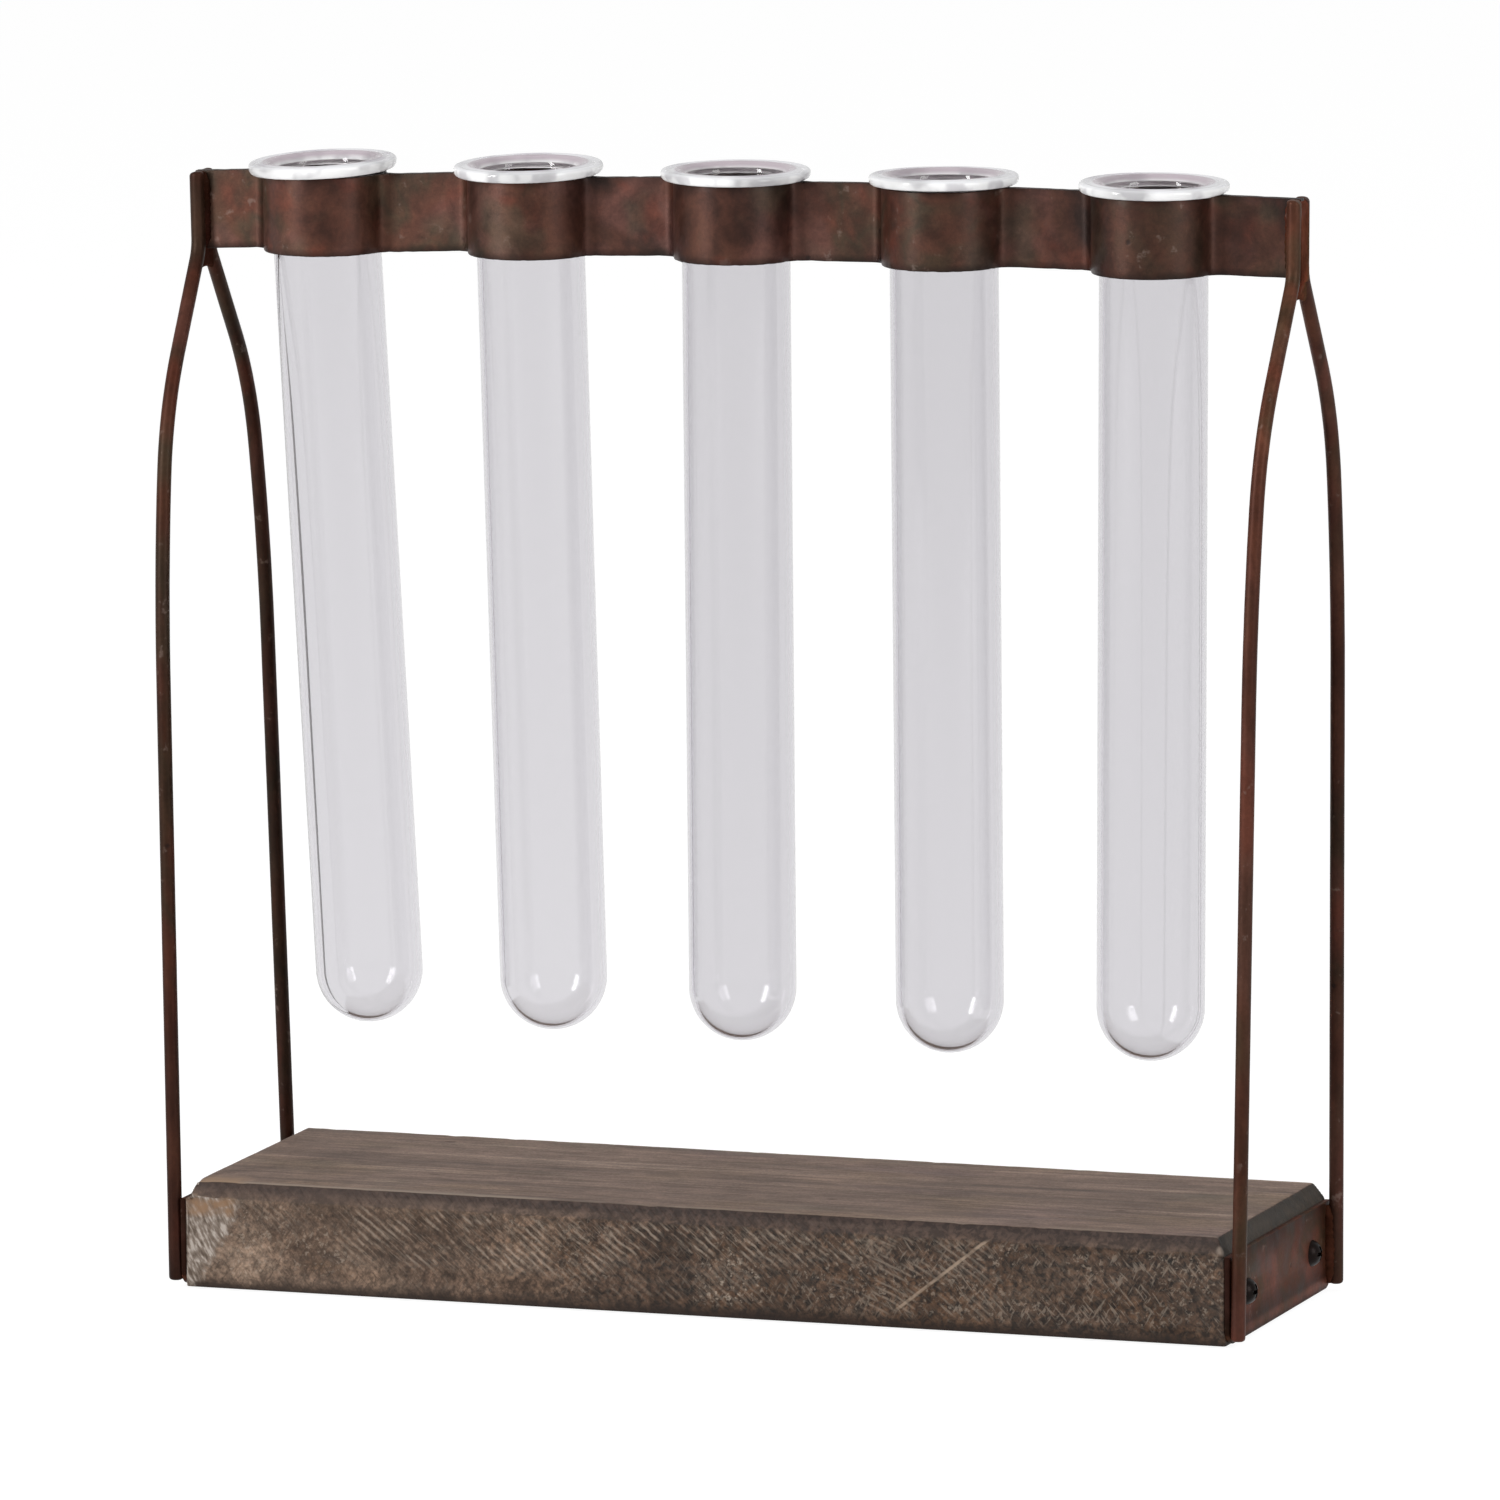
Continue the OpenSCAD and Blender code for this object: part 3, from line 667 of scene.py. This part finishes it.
# end plates
def plate_piece(name, side):
    half = PLATE_W / 2
    low, top, r = PLATE_INSET, PLATE_TOP, PLATE_CORNER
    outline = rounded_loop([(-half, low, r), (half, low, r), (half, top, 0.35), (-half, top, 0.35)], 10)
    curve = bpy.data.curves.new(name, "CURVE")
    curve.dimensions = "2D"
    curve.fill_mode = "BOTH"
    screw_z = (top + low) / 2
    screw_y = half - SCREW_INSET
    rings = [outline]
    for c in (-screw_y, screw_y):
        ring = []
        for i in range(HOLE_SIDES):
            a = math.tau * i / HOLE_SIDES
            ring.append(Vector((c + SCREW_HOLE_R * math.cos(a), screw_z + SCREW_HOLE_R * math.sin(a))))
        rings.append(ring)
    soft = 0.22  # rounding of the plate's edges
    for ring in rings:
        spline = curve.splines.new("POLY")
        spline.points.add(len(ring) - 1)
        for point, p in zip(spline.points, ring):
            point.co = (p.x * MM, p.y * MM, 0, 1)
        spline.use_cyclic_u = True
    curve.extrude = (PLATE_T / 2 - soft) * MM
    curve.bevel_depth = soft * MM
    curve.bevel_resolution = 2
    curve.offset = -soft * MM
    holder = bpy.data.objects.new(name + "_curve", curve)
    bpy.context.scene.collection.objects.link(holder)
    bpy.context.view_layer.update()
    mesh = bpy.data.meshes.new_from_object(holder.evaluated_get(bpy.context.evaluated_depsgraph_get()))
    mesh.name = name
    bpy.data.objects.remove(holder)
    x = side * (BLOCK_L / 2 + PLATE_T / 2) * MM
    mesh.transform(Matrix(((0, 0, 1, x), (1, 0, 0, 0), (0, 1, 0, 0), (0, 0, 0, 1))))
    obj = add_object(name, mesh, merge=True)
    soften(obj, 30)
    darkening_and_shade = []
    for v in obj.data.vertices:
        # painted shade on the plate's front and back edges; the plate is also darker towards its bottom
        # edge
        cut = 1.25 * blend01(abs(v.co.y) / MM, half - 0.5, half - 0.1)
        darkening_and_shade.append(max(blend01(v.co.z / MM, 1.9, 0.5), cut))
    mark_edge(obj, darkening_and_shade)
    return obj


# legs
def along(lean):
    return Vector((-math.sin(lean), math.cos(lean)))


def across(lean):
    return Vector((math.cos(lean), math.sin(lean)))


def leg_line(side):
    """The leg's middle line in its own plane, as (spread, height, lean)."""
    low, mid, neck = (math.radians(a) for a in (LOW_LEAN, MID_LEAN, NECK_LEAN))
    top = (row_low(side * NECK_X) + STRIP_H - FOOT_Z) / math.cos(SPLAY)
    start = top - STRIP_H + NECK_LAP
    spread = NECK_R * (1 - math.cos(neck)) + TIGHT_R * (math.cos(mid) - math.cos(neck))
    spread += WIDE_R * (math.cos(low) - math.cos(mid))
    rise = NECK_R * math.sin(neck) + TIGHT_R * (math.sin(neck) - math.sin(mid))
    rise += WIDE_R * (math.sin(mid) - math.sin(low))
    straight = start - rise
    run = FOOT_HALF - NECK_HALF - spread - straight * math.tan(low)
    run /= math.sin(neck) - math.cos(neck) * math.tan(low)
    low_rise = straight - run * math.cos(neck)
    line = []

    def walk(a, b, lean, n):
        for i in range(n):
            line.append((a.lerp(b, i / n), lean))

    foot = Vector((FOOT_HALF, 0))
    low_end = Vector((FOOT_HALF - low_rise * math.tan(low), low_rise))
    walk(foot, low_end, low, 44)
    wide_c = low_end - WIDE_R * across(low)
    for i in range(18):
        a = low + (mid - low) * i / 18
        line.append((wide_c + WIDE_R * across(a), a))
    tight_c = wide_c + (WIDE_R - TIGHT_R) * across(mid)
    for i in range(16):
        a = mid + (neck - mid) * i / 16
        line.append((tight_c + TIGHT_R * across(a), a))
    bend_end = tight_c + TIGHT_R * across(neck)
    run_end = bend_end + run * along(neck)
    walk(bend_end, run_end, neck, 8)
    neck_c = run_end + NECK_R * across(neck)
    for i in range(10):
        a = neck * (1 - i / 10)
        line.append((neck_c - NECK_R * across(a), a))
    walk(Vector((NECK_HALF, start)), Vector((NECK_HALF, top)), 0.0, 8)
    line.append((Vector((NECK_HALF, top)), 0.0))
    return line


def leg_place(side, back, spread, height, out=0.0):
    """From the leg's own plane, with a distance out of it, to the row frame in mm."""
    x = FOOT_X + height * math.sin(SPLAY) + out * math.cos(SPLAY)
    z = FOOT_Z + height * math.cos(SPLAY) - out * math.sin(SPLAY)
    return (side * x, back * spread, z)


def rod_mesh(side, back, seed):
    line = leg_line(side)
    sides = 28
    rings = []
    # distances from a cut end and the shares of the radius there
    tail = [(0.0, 0.62), (0.12, 0.78), (0.3, 0.90), (0.55, 0.97), (0.95, 1.0)]
    stations = []
    foot, lean0 = line[0]
    top, lean1 = line[-1]
    for d, share in tail:
        stations.append((foot + along(lean0) * d, lean0, share))
    stations += [(p, lean, 1.0) for p, lean in line[1:-1]]
    for d, share in reversed(tail):
        stations.append((top - along(lean1) * d, lean1, share))
    for p, lean, share in stations:
        ring = []
        for i in range(sides):
            t = math.tau * i / sides
            here = (p.x + math.cos(t) * ROD_R, p.y, math.sin(t) * ROD_R)
            uneven = 1 - 0.008 + 0.008 * rough(here, 3.2, seed)
            r = ROD_R * share * (uneven + 0.006 * rough(here, 14.0, seed))
            flat = p + r * math.cos(t) * across(lean)
            out, high = r * math.sin(t), flat.y - (top.y - ROD_R)
            if out > 0 and high > 0 and math.hypot(out, high) > ROD_R:
                k = ROD_R / math.hypot(out, high)
                out, high = out * k, high * k
                flat = Vector((flat.x, top.y - ROD_R + high))
            ring.append(leg_place(side, back, flat.x, flat.y, out))
        rings.append(ring)
    return closed_tube(rings)


def bead_mesh(place, low, high, width, gap, seed):
    """A weld bead: a fillet between a rod and a flat, with the ripples of its run.

    place(a, b, h) gives the row-frame point at a along the flat, b out of it, h up.
    """
    n, m = 46, 10  # steps along the bead and round it
    rings = []
    for j in range(n + 1):
        h = low + (high - low) * j / n
        end = min(1.0, math.sin(math.pi * min(j, n - j) / n * 3) if min(j, n - j) < n / 6 else 1.0)
        end = max(0.12, end)
        wave = 1 + 0.10 * math.cos(math.tau * (h / WELD_STEP + 0.25 * rough((h, 0, seed), 3.0)))
        size = width * end * wave * (1 + 0.18 * rough((h, 3.0, seed), 4.0))
        ring = []
        for i in range(m + 1):
            t = i / m * math.pi / 2
            bulge = 0.86 + 0.14 * math.sin(2 * t)
            a = ROD_R * 0.55 + (ROD_R * 0.45 + size) * math.cos(t) * bulge
            b = (gap + 0.95 * size) * math.sin(t) * bulge
            ring.append(place(a, b, h))
        ring.append(place(0.2, 0.05, h))
        rings.append(ring)
    return closed_tube(rings)


def inner_gap(side, z):
    """Half the clear space between an end's two rods at a height, and the rods' x there."""
    last = None
    for point, lean in leg_line(side):
        x, _, high = leg_place(1, 1, point.x, point.y)
        here = (high, point.x - ROD_R / math.cos(lean), x)
        if high >= z:
            if last is None:
                return here[1:]
            t = (z - last[0]) / max(1e-9, high - last[0])
            return last[1] + (here[1] - last[1]) * t, last[2] + (here[2] - last[2]) * t
        last = here
    return last[1:]


def fork_mesh(side, low, depth, seed):
    """Weld metal that fills the fork under the strips, with an arched lower edge."""
    n, m = 16, 14  # steps across the fork and down it
    verts, faces = [], []
    for face in (-1, 1):
        faces += grid_faces(m + 1, n + 1, len(verts), wrap=False)
        for j in range(m + 1):
            v = j / m
            for i in range(n + 1):
                u = 2 * i / n - 1
                foot = low - depth * (0.80 + 0.20 * u * u)
                z = low + 0.8 + (foot - low - 0.8) * v
                half, x = inner_gap(side, z)
                thick = (1.30 - 0.75 * v**1.5) * (1 + 0.10 * rough((u * 3, v * 4, face), 1.3, seed))
                thick *= math.sqrt(max(0.02, 1 - (max(0.0, v - 0.8) / 0.2) ** 2 * 0.96))
                verts.append((side * (x + face * thick), u * (half + 0.8), z))
    far = (m + 1) * (n + 1)
    border = list(range(n + 1))
    border += [j * (n + 1) + n for j in range(1, m + 1)]
    border += [m * (n + 1) + i for i in range(n - 1, -1, -1)]
    border += [j * (n + 1) for j in range(m - 1, 0, -1)]
    for a, b in zip(border, border[1:] + border[:1]):
        faces.append((a, b, b + far, a + far))
    return verts, faces


def web_mesh(side, low, seed):
    """Weld metal over the strips' ends, between the two rods, rounded at its outer top corner."""
    top = low + STRIP_H - 0.06
    r = 1.62  # the rods' radius, less a little
    outline = [(0.5, low - 1.0), (r * 0.8, low - 1.0)]
    outline += [(r, low + (top - r - low) * i / 16) for i in range(17)]
    for i in range(1, 7):
        a = math.pi / 2 * i / 6
        outline.append((r * math.cos(a), top - r + r * math.sin(a)))
    outline += [(-1.2, top), (-1.3, top - 0.7), (0.5, top - 0.9)]
    rings = []
    m = 12
    for j in range(m + 1):
        y = (2 * j / m - 1) * (NECK_HALF - 0.2)
        dip = 0.10 * (1 - (y / NECK_HALF) ** 2)
        ring = []
        for x, z in outline:
            wave = 0.07 * rough((x * 2, y, z), 1.7, seed)
            out = NECK_X + x - (dip - wave if x > 0.9 else 0.0)
            ring.append((side * out, y, z - (0.10 if z > top - 0.5 else 0.0) * (1 + wave)))
        rings.append(ring)
    return closed_tube(rings)


def leg_piece(name, side, back, seed):
    neck_low = row_low(side * NECK_X)
    parts = [rod_mesh(side, back, seed)]

    def at_foot(a, b, h):
        return (side * (PLATE_X + b), back * (FOOT_HALF - a), h)

    def at_neck(a, b, h):
        return (side * (NECK_X - a), back * (STRIP_T + b), h)

    parts.append(bead_mesh(at_foot, PLATE_INSET + 1.2, PLATE_TOP - 1.0, 1.25, 0.9, seed))
    parts.append(bead_mesh(at_neck, neck_low + 0.4, neck_low + STRIP_H - 0.4, 1.15, 0.75, seed + 4))
    if back < 0:
        parts.append(fork_mesh(side, neck_low, FORK_FILL[side], seed))
        parts.append(web_mesh(side, neck_low, seed + 2))
    obj = join(name, parts)
    soften(obj, 42)
    # darker towards the bottom of each rod; painted shade in the grooves at the welds, less on the
    # fork's weld metal
    darkening_and_shade = [0.55 * blend01(v[2], 222.0, 130.0) for v in parts[0][0]]
    for share, part in zip((0.75, 0.75, 0.3, 0.0), parts[1:]):
        darkening_and_shade += [share] * len(part[0])
    mark_edge(obj, darkening_and_shade)
    for p in obj.data.polygons:
        p.material_index = 0 if p.index < len(parts[0][1]) else 1
    return obj


# ring strips
def strip_stations():
    """Stations along the strip's middle surface: (x, y, normal x, normal y)."""
    out = []
    mid_root = ROOT_R + STRIP_T / 2
    mid_ring = RING_IN + STRIP_T / 2

    def flat(a, b):
        n = max(2, round(abs(b - a) / FLAT_STEP))
        for i in range(n):
            out.append((a + (b - a) * i / n, -STRIP_T / 2, 0.0, -1.0))

    def root(x, a):
        u, v = math.cos(a), math.sin(a)
        out.append((x + mid_root * u, -ROOT_Y + mid_root * v, -u, -v))

    at = -STRIP_END
    for k in range(1, 6):
        c = ring_x(k)
        flat(at, c - ROOT_X)
        for i in range(8):
            root(c - ROOT_X, math.pi / 2 + (ROOT_TURN - math.pi / 2) * i / 8)
        n = 56  # steps round a bulge
        for i in range(n + 1):
            a = math.pi + ROOT_TURN + (math.pi - 2 * ROOT_TURN) * i / n
            out.append((c + mid_ring * math.cos(a), mid_ring * math.sin(a), math.cos(a), math.sin(a)))
        for i in range(1, 8):
            root(c + ROOT_X, math.pi - ROOT_TURN + (ROOT_TURN - math.pi / 2) * i / 8)
        at = c + ROOT_X
    flat(at, STRIP_END)
    out.append((STRIP_END, -STRIP_T / 2, 0.0, -1.0))
    return out


def low_edge(x):
    """Lower edge of the strips: level under each ring and straight between them."""
    knots = [(-STRIP_END, row_low(-STRIP_END))]
    for k in range(1, 6):
        knots += [(ring_x(k) - ROOT_X, row_low(ring_x(k))), (ring_x(k) + ROOT_X, row_low(ring_x(k)))]
    knots.append((STRIP_END, row_low(STRIP_END)))
    for (xa, za), (xb, zb) in zip(knots, knots[1:]):
        if x <= xb:
            return za + (zb - za) * (x - xa) / (xb - xa)
    return knots[-1][1]


def strip_piece(name, back, seed):
    half_t = STRIP_T / 2
    soft = 0.28  # rounding of the strip's edges
    corners = [(-half_t, 0, soft), (half_t, 0, soft), (half_t, STRIP_H, soft), (-half_t, STRIP_H, soft)]
    section = spaced(rounded_loop(corners), 1.7)
    rings, edges = [], []
    for x, y, nx, ny in strip_stations():
        low = low_edge(x)
        ring = []
        for p in section:
            z = low + p.y
            here = (x, y * 3, z)
            # the metal's hammered unevenness, always inwards on its outer face
            dent = 0.10 * (0.5 + 0.5 * rough(here, 8.0, seed))
            dent += 0.04 * (0.5 + 0.5 * rough(here, 2.6, seed))
            u = p.x * (1 - dent / half_t * 0.55)
            edge = min(p.y, STRIP_H - p.y)
            nick = 0.16 * max(0.0, rough(here, 2.2, seed + 3)) * blend01(edge, 0.8, 0.0)
            zz = z + (nick if p.y < STRIP_H / 2 else -nick)
            ring.append((x + nx * u, -back * (y + ny * u), zz))
            # painted shade along the strip's lower edge, and less along its upper edge
            edges.append(max(blend01(p.y, 1.5, 0.1), 0.6 * blend01(STRIP_H - p.y, 1.1, 0.1)))
        rings.append(ring)
    obj = make_object(name, *closed_tube(rings))
    soften(obj, 50)
    mark_edge(obj, edges)
    return obj


# tubes
def tube_profile():
    """Closed half section of a tube, (radius, height) from the lip's underside."""
    bottom = LIP_T - TUBE_L
    bore = TUBE_R - WALL
    centre = bottom + TUBE_R
    quarter = math.pi / 2
    out = []

    def arc(r, x, z, start, turn, first, n):
        for i in range(first, n + 1):
            a = start + turn * i / n
            out.append((x + r * math.cos(a), z + r * math.sin(a)))

    arc(TUBE_R, 0, centre, -quarter, quarter, 0, 24)
    for i in range(1, 31):
        out.append((TUBE_R, centre + (-FLARE_R - centre) * i / 30))
    arc(FLARE_R, TUBE_R + FLARE_R, -FLARE_R, math.pi, -quarter, 1, 6)
    edge = LIP_R - LIP_T / 2
    for i in range(1, 4):
        out.append((TUBE_R + FLARE_R + (edge - TUBE_R - FLARE_R) * i / 4, 0.0))
    arc(LIP_T / 2, edge, LIP_T / 2, -quarter, math.pi, 0, 16)
    mouth = bore + MOUTH_R
    for i in range(1, 7):
        t = i / 7
        out.append((edge + (mouth - edge) * t, LIP_T - 0.32 * math.sin(math.pi * t) ** 2))
    top = LIP_T - MOUTH_R
    arc(MOUTH_R, mouth, top, quarter, quarter, 0, 10)
    for i in range(1, 31):
        out.append((bore, top + (centre - top) * i / 30))
    arc(bore, 0, centre, 0, -quarter, 1, 24)
    return out


def tube_turn(k):
    lean, nod = math.radians(LEANS[k - 1]), math.radians(NODS[k - 1])
    return Matrix.Rotation(-lean, 3, "Y") @ Matrix.Rotation(nod, 3, "X")


def tube_base(k):
    return Vector((ring_x(k), 0, row_low(ring_x(k)) + STRIP_H / 2))


def tube_piece(k):
    profile = tube_profile()
    sides = 128
    turn, base = tube_turn(k), tube_base(k)
    over = max(0.0, FLARE_R - RING_CLEAR)
    drop = FLARE_R - math.sqrt(FLARE_R**2 - over**2)
    tilt = math.radians(math.hypot(LEANS[k - 1], NODS[k - 1]))
    seat = SEAT_GAP + drop + RING_OUT * math.sin(tilt)
    sag = seat - BEAD_GAP - BEAD_SWING * math.sin(tilt)

    def bead_sag(a):
        """How far the bead hangs at an angle round the tube. It stays clear of the strips' flats."""
        spot = Vector((BEAD_R * math.cos(a), BEAD_R * math.sin(a), STRIP_H / 2 + seat))
        x, y, z = base + turn @ spot
        room = max(0.0, z - low_edge(x) - STRIP_H - BEAD_GAP)
        return sag + (min(sag, room) - sag) * blend01(abs(y), RING_Y, FLAT_Y)

    sags = [bead_sag(math.tau * i / sides) for i in range(sides)]
    verts, rings, inner = [], [], []
    lip_at = max(range(len(profile)), key=lambda i: profile[i][0])
    for at, (r, z) in enumerate(profile):
        # the inner wall begins past the lip's flat top
        inner += [1.0 if at > lip_at + 14 else 0.0] * (1 if r < 1e-6 else sides)
        # the fire-polished bead sags a little outside the ring
        under = at <= lip_at and z >= 0.0
        droop = blend01(r, BEAD_IN, BEAD_OUT) * max(0.0, 1 - 2 * z / LIP_T) if under else 0.0
        if r < 1e-6:
            rings.append([len(verts)])
            verts.append((0.0, 0.0, z))
            continue
        ring = []
        for i in range(sides):
            a = math.tau * i / sides
            flare = blend01(r, TUBE_R + 0.6, LIP_R - 1.0)
            out = r - flare * 0.13 * (0.5 + 0.5 * math.sin(2 * a + 1.7 * k))
            out -= flare * 0.07 * (0.5 + 0.5 * math.sin(3 * a + k))
            lift = -flare * 0.10 * (0.5 + 0.5 * math.sin(2 * a + 0.9 * k)) if z > 1.0 else 0.0
            ring.append(len(verts))
            verts.append((out * math.cos(a), out * math.sin(a), z + lift - droop * sags[i]))
        rings.append(ring)
    faces = []
    for a, b in zip(rings, rings[1:]):
        if len(a) == 1:
            faces += [(a[0], b[(i + 1) % sides], b[i]) for i in range(sides)]
        elif len(b) == 1:
            faces += [(a[i], a[(i + 1) % sides], b[0]) for i in range(sides)]
        else:
            faces += [(a[i], a[(i + 1) % sides], b[(i + 1) % sides], b[i]) for i in range(sides)]
    placed = [tuple(base + turn @ Vector((x, y, z + STRIP_H / 2 + seat))) for x, y, z in verts]
    obj = make_object(f"glass_tube_{k}", placed, faces)
    mark_edge(obj, inner)
    return obj


# build
wood = old_wood()
# front band: painted falloff of light, darker to the right
band_front = patina("patina_front_band", (0.31, 0.12, 0.0), dark=0.98, light_falloff=0.66, bulge=0.96)
# rear band: a darker copy of the band's steel, painted shade for its side away from the lamps
band_rear_shaded = patina("patina_rear_band_shaded", (0.77, 0.45, 0.2), dark=0.5, light_falloff=0.8)
# rods: lighter to the right by painted falloff of light; the rear rods are a darker copy, painted shade
# as they get less light
rod_look = dict(glow=0.46, rosy=0.45, light_falloff=1.5, tint=(1.0, 0.92, 0.87), shine=0.3)
rod_steel_lit_and_shaded = {
    -1: patina("patina_front_rods", (0.1, 0.6, 0.4), (1.0, 1.0, 0.35), dark=0.74, **rod_look),
    1: patina("patina_rear_rods_shaded", (0.7, 0.1, 0.3), (1.0, 1.0, 0.35), dark=0.50, **rod_look),
}
# welds: darker, painted shade of their grooves, and lighter to the right by painted falloff of light
weld_look = dict(dark=0.58, glow=0.6, rosy=0.7, light_falloff=2.0, tint=(1.0, 0.86, 0.79), shine=0.0)
weld_steel = patina("patina_welds", (0.4, 0.3, 0.1), **weld_look)
plate_look = dict(dark=0.96, glow=0.58, rosy=1.0, tint=(1.0, 0.86, 0.73), shine=0.2)
plate_steel = patina("patina_plates", (0.5, 0.2, 0.9), **plate_look)
screw_steel = patina("patina_screws", (0.2, 0.9, 0.7), dark=0.08, glow=0.36, rosy=0.0, shine=0.6)


def dress(obj, body, node, *materials):
    for material in materials:
        obj.data.materials.append(material)
    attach(obj, body)
    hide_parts(node)


dress(wood_piece(), "rack", "wood_base", wood)
dress(plate_piece("left_plate", -1), "rack", "left_end_plate", plate_steel)
dress(plate_piece("right_plate", 1), "rack", "right_end_plate", plate_steel)
for i, (side_name, side) in enumerate((("left", -1), ("right", 1))):
    for j, (back_name, back) in enumerate((("front", -1), ("rear", 1))):
        corner = f"{side_name}_{back_name}"
        rod = leg_piece(f"{corner}_rod", side, back, 3.0 + 7 * i + 13 * j)
        dress(rod, "rack", f"{corner}_leg", rod_steel_lit_and_shaded[back], weld_steel)
        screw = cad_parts[f"{corner}_screw"]
        for slot in screw.material_slots:
            slot.material = screw_steel
dress(strip_piece("front_band", -1, 1.0), "rack", "front_ring_strip", band_front)
dress(strip_piece("rear_band", 1, 6.0), "rack", "rear_ring_strip", band_rear_shaded)
for k in range(1, 6):
    axis = tube_turn(k) @ Vector((0, 0, 1))
    # painted shade: the outer wall's grey stands for the shade of the surroundings, a little darker on
    # tubes 3 to 5
    tint = 0.69 if k < 3 else 0.655
    glass = clear_glass(f"clear_glass_{k}", (0.13 * k, 0.29 * k, 0.0), tube_base(k), axis, tint)
    dress(tube_piece(k), f"tube_{k}", f"tube_{k}", glass)


# stage
def floor_material():
    s = Shade("pale_floor")
    s.set("Base Color", (0.9, 0.9, 0.9, 1.0))
    s.set("Roughness", 0.9)
    s.set("Specular IOR Level", 0.1)
    path = s.node("ShaderNodeLightPath")
    seen = s.most(*(path.outputs[f"Is {kind} Ray"] for kind in ("Camera", "Glossy", "Transmission")))
    # to the camera, through glass and in reflections it is near white, with a soft shadow
    white = s.feed(s.node("ShaderNodeEmission"), Color=(1, 1, 1, 1), Strength=0.92)
    dim = s.feed(s.node("ShaderNodeBsdfDiffuse"), Color=(0.18, 0.18, 0.18, 1))
    both = s.node("ShaderNodeAddShader")
    s.put(both.inputs[0], white.outputs[0])
    s.put(both.inputs[1], dim.outputs[0])
    pick = s.node("ShaderNodeMixShader")
    for i, value in enumerate((seen, s.bsdf.outputs[0], both.outputs[0])):
        s.put(pick.inputs[i], value)
    s.put(s.out.inputs["Surface"], pick.outputs[0])
    return s.mat


corners = [(-4000, -6000), (4000, -6000), (4000, 4000), (-4000, 4000)]
floor = make_object("floor", [(x, y, FLOOR_Z) for x, y in corners], [(0, 1, 2, 3)], smooth=False)
floor.data.materials.append(floor_material())

world = bpy.data.worlds.new("studio")
world.use_nodes = True
sky = Nodes(world.node_tree)
backdrop = sky.node("ShaderNodeBackground")
sky.put(sky.node("ShaderNodeOutputWorld").inputs[0], backdrop.outputs[0])
path = sky.node("ShaderNodeLightPath")
mirrored = sky.times(path.outputs["Is Glossy Ray"], MIRRORED_SKY)
seen = (path.outputs["Is Camera Ray"], path.outputs["Is Transmission Ray"], mirrored)
sky.feed(backdrop, Color=(1, 1, 1, 1), Strength=sky.most(*seen, SKY_LIGHT))
bpy.context.scene.world = world


def area(name, place, aim, size, power):
    data = bpy.data.lights.new(name, "AREA")
    data.shape = "RECTANGLE"
    data.size, data.size_y = size
    data.energy = power
    obj = bpy.data.objects.new(name, data)
    obj.location = place
    obj.rotation_euler = (Vector(aim) - Vector(place)).to_track_quat("-Z", "Y").to_euler()
    bpy.context.scene.collection.objects.link(obj)
    return obj


MIDDLE = (0, 0, 0.12)
area("key", (-0.95, -1.15, 0.64), MIDDLE, (0.30, 1.0), 17.0)
area("fill", (1.35, -0.55, 0.60), MIDDLE, (0.5, 0.9), 8.6)
lamp = area("top", (0.1, 0.1, 1.5), (0, 0, 0), (1.0, 0.7), 8.0)
lamp.visible_glossy = False
lamp.visible_transmission = False

# camera, fitted to the photograph
YAW, ELEV, ROLL = math.radians(19.831), math.radians(9.052), math.radians(-0.601)
DIST, FOCAL = 3802.9, 16470.6  # the focal length is in the photograph's pixels
PHOTO_SIDE, SENSOR = 1500, 36
TARGET = Vector((0.648, -1.25, 126.426))
back_dir = Vector((math.sin(YAW) * math.cos(ELEV), -math.cos(YAW) * math.cos(ELEV), math.sin(ELEV)))
right = Vector((math.cos(YAW), math.sin(YAW), 0))
up_dir = back_dir.cross(right)
right2 = math.cos(ROLL) * right + math.sin(ROLL) * up_dir
up2 = -math.sin(ROLL) * right + math.cos(ROLL) * up_dir
camera = bpy.data.objects.new("camera", bpy.data.cameras.new("camera"))
camera.data.lens = SENSOR * FOCAL / PHOTO_SIDE
camera.data.sensor_width = SENSOR
camera.data.clip_end = 50
seat = Matrix((right2, up2, back_dir)).transposed().to_4x4()
seat.translation = (TARGET + back_dir * DIST) * MM
camera.matrix_world = seat
bpy.context.scene.collection.objects.link(camera)
bpy.context.scene.camera = camera
bpy.context.scene.view_settings.view_transform = "Standard"
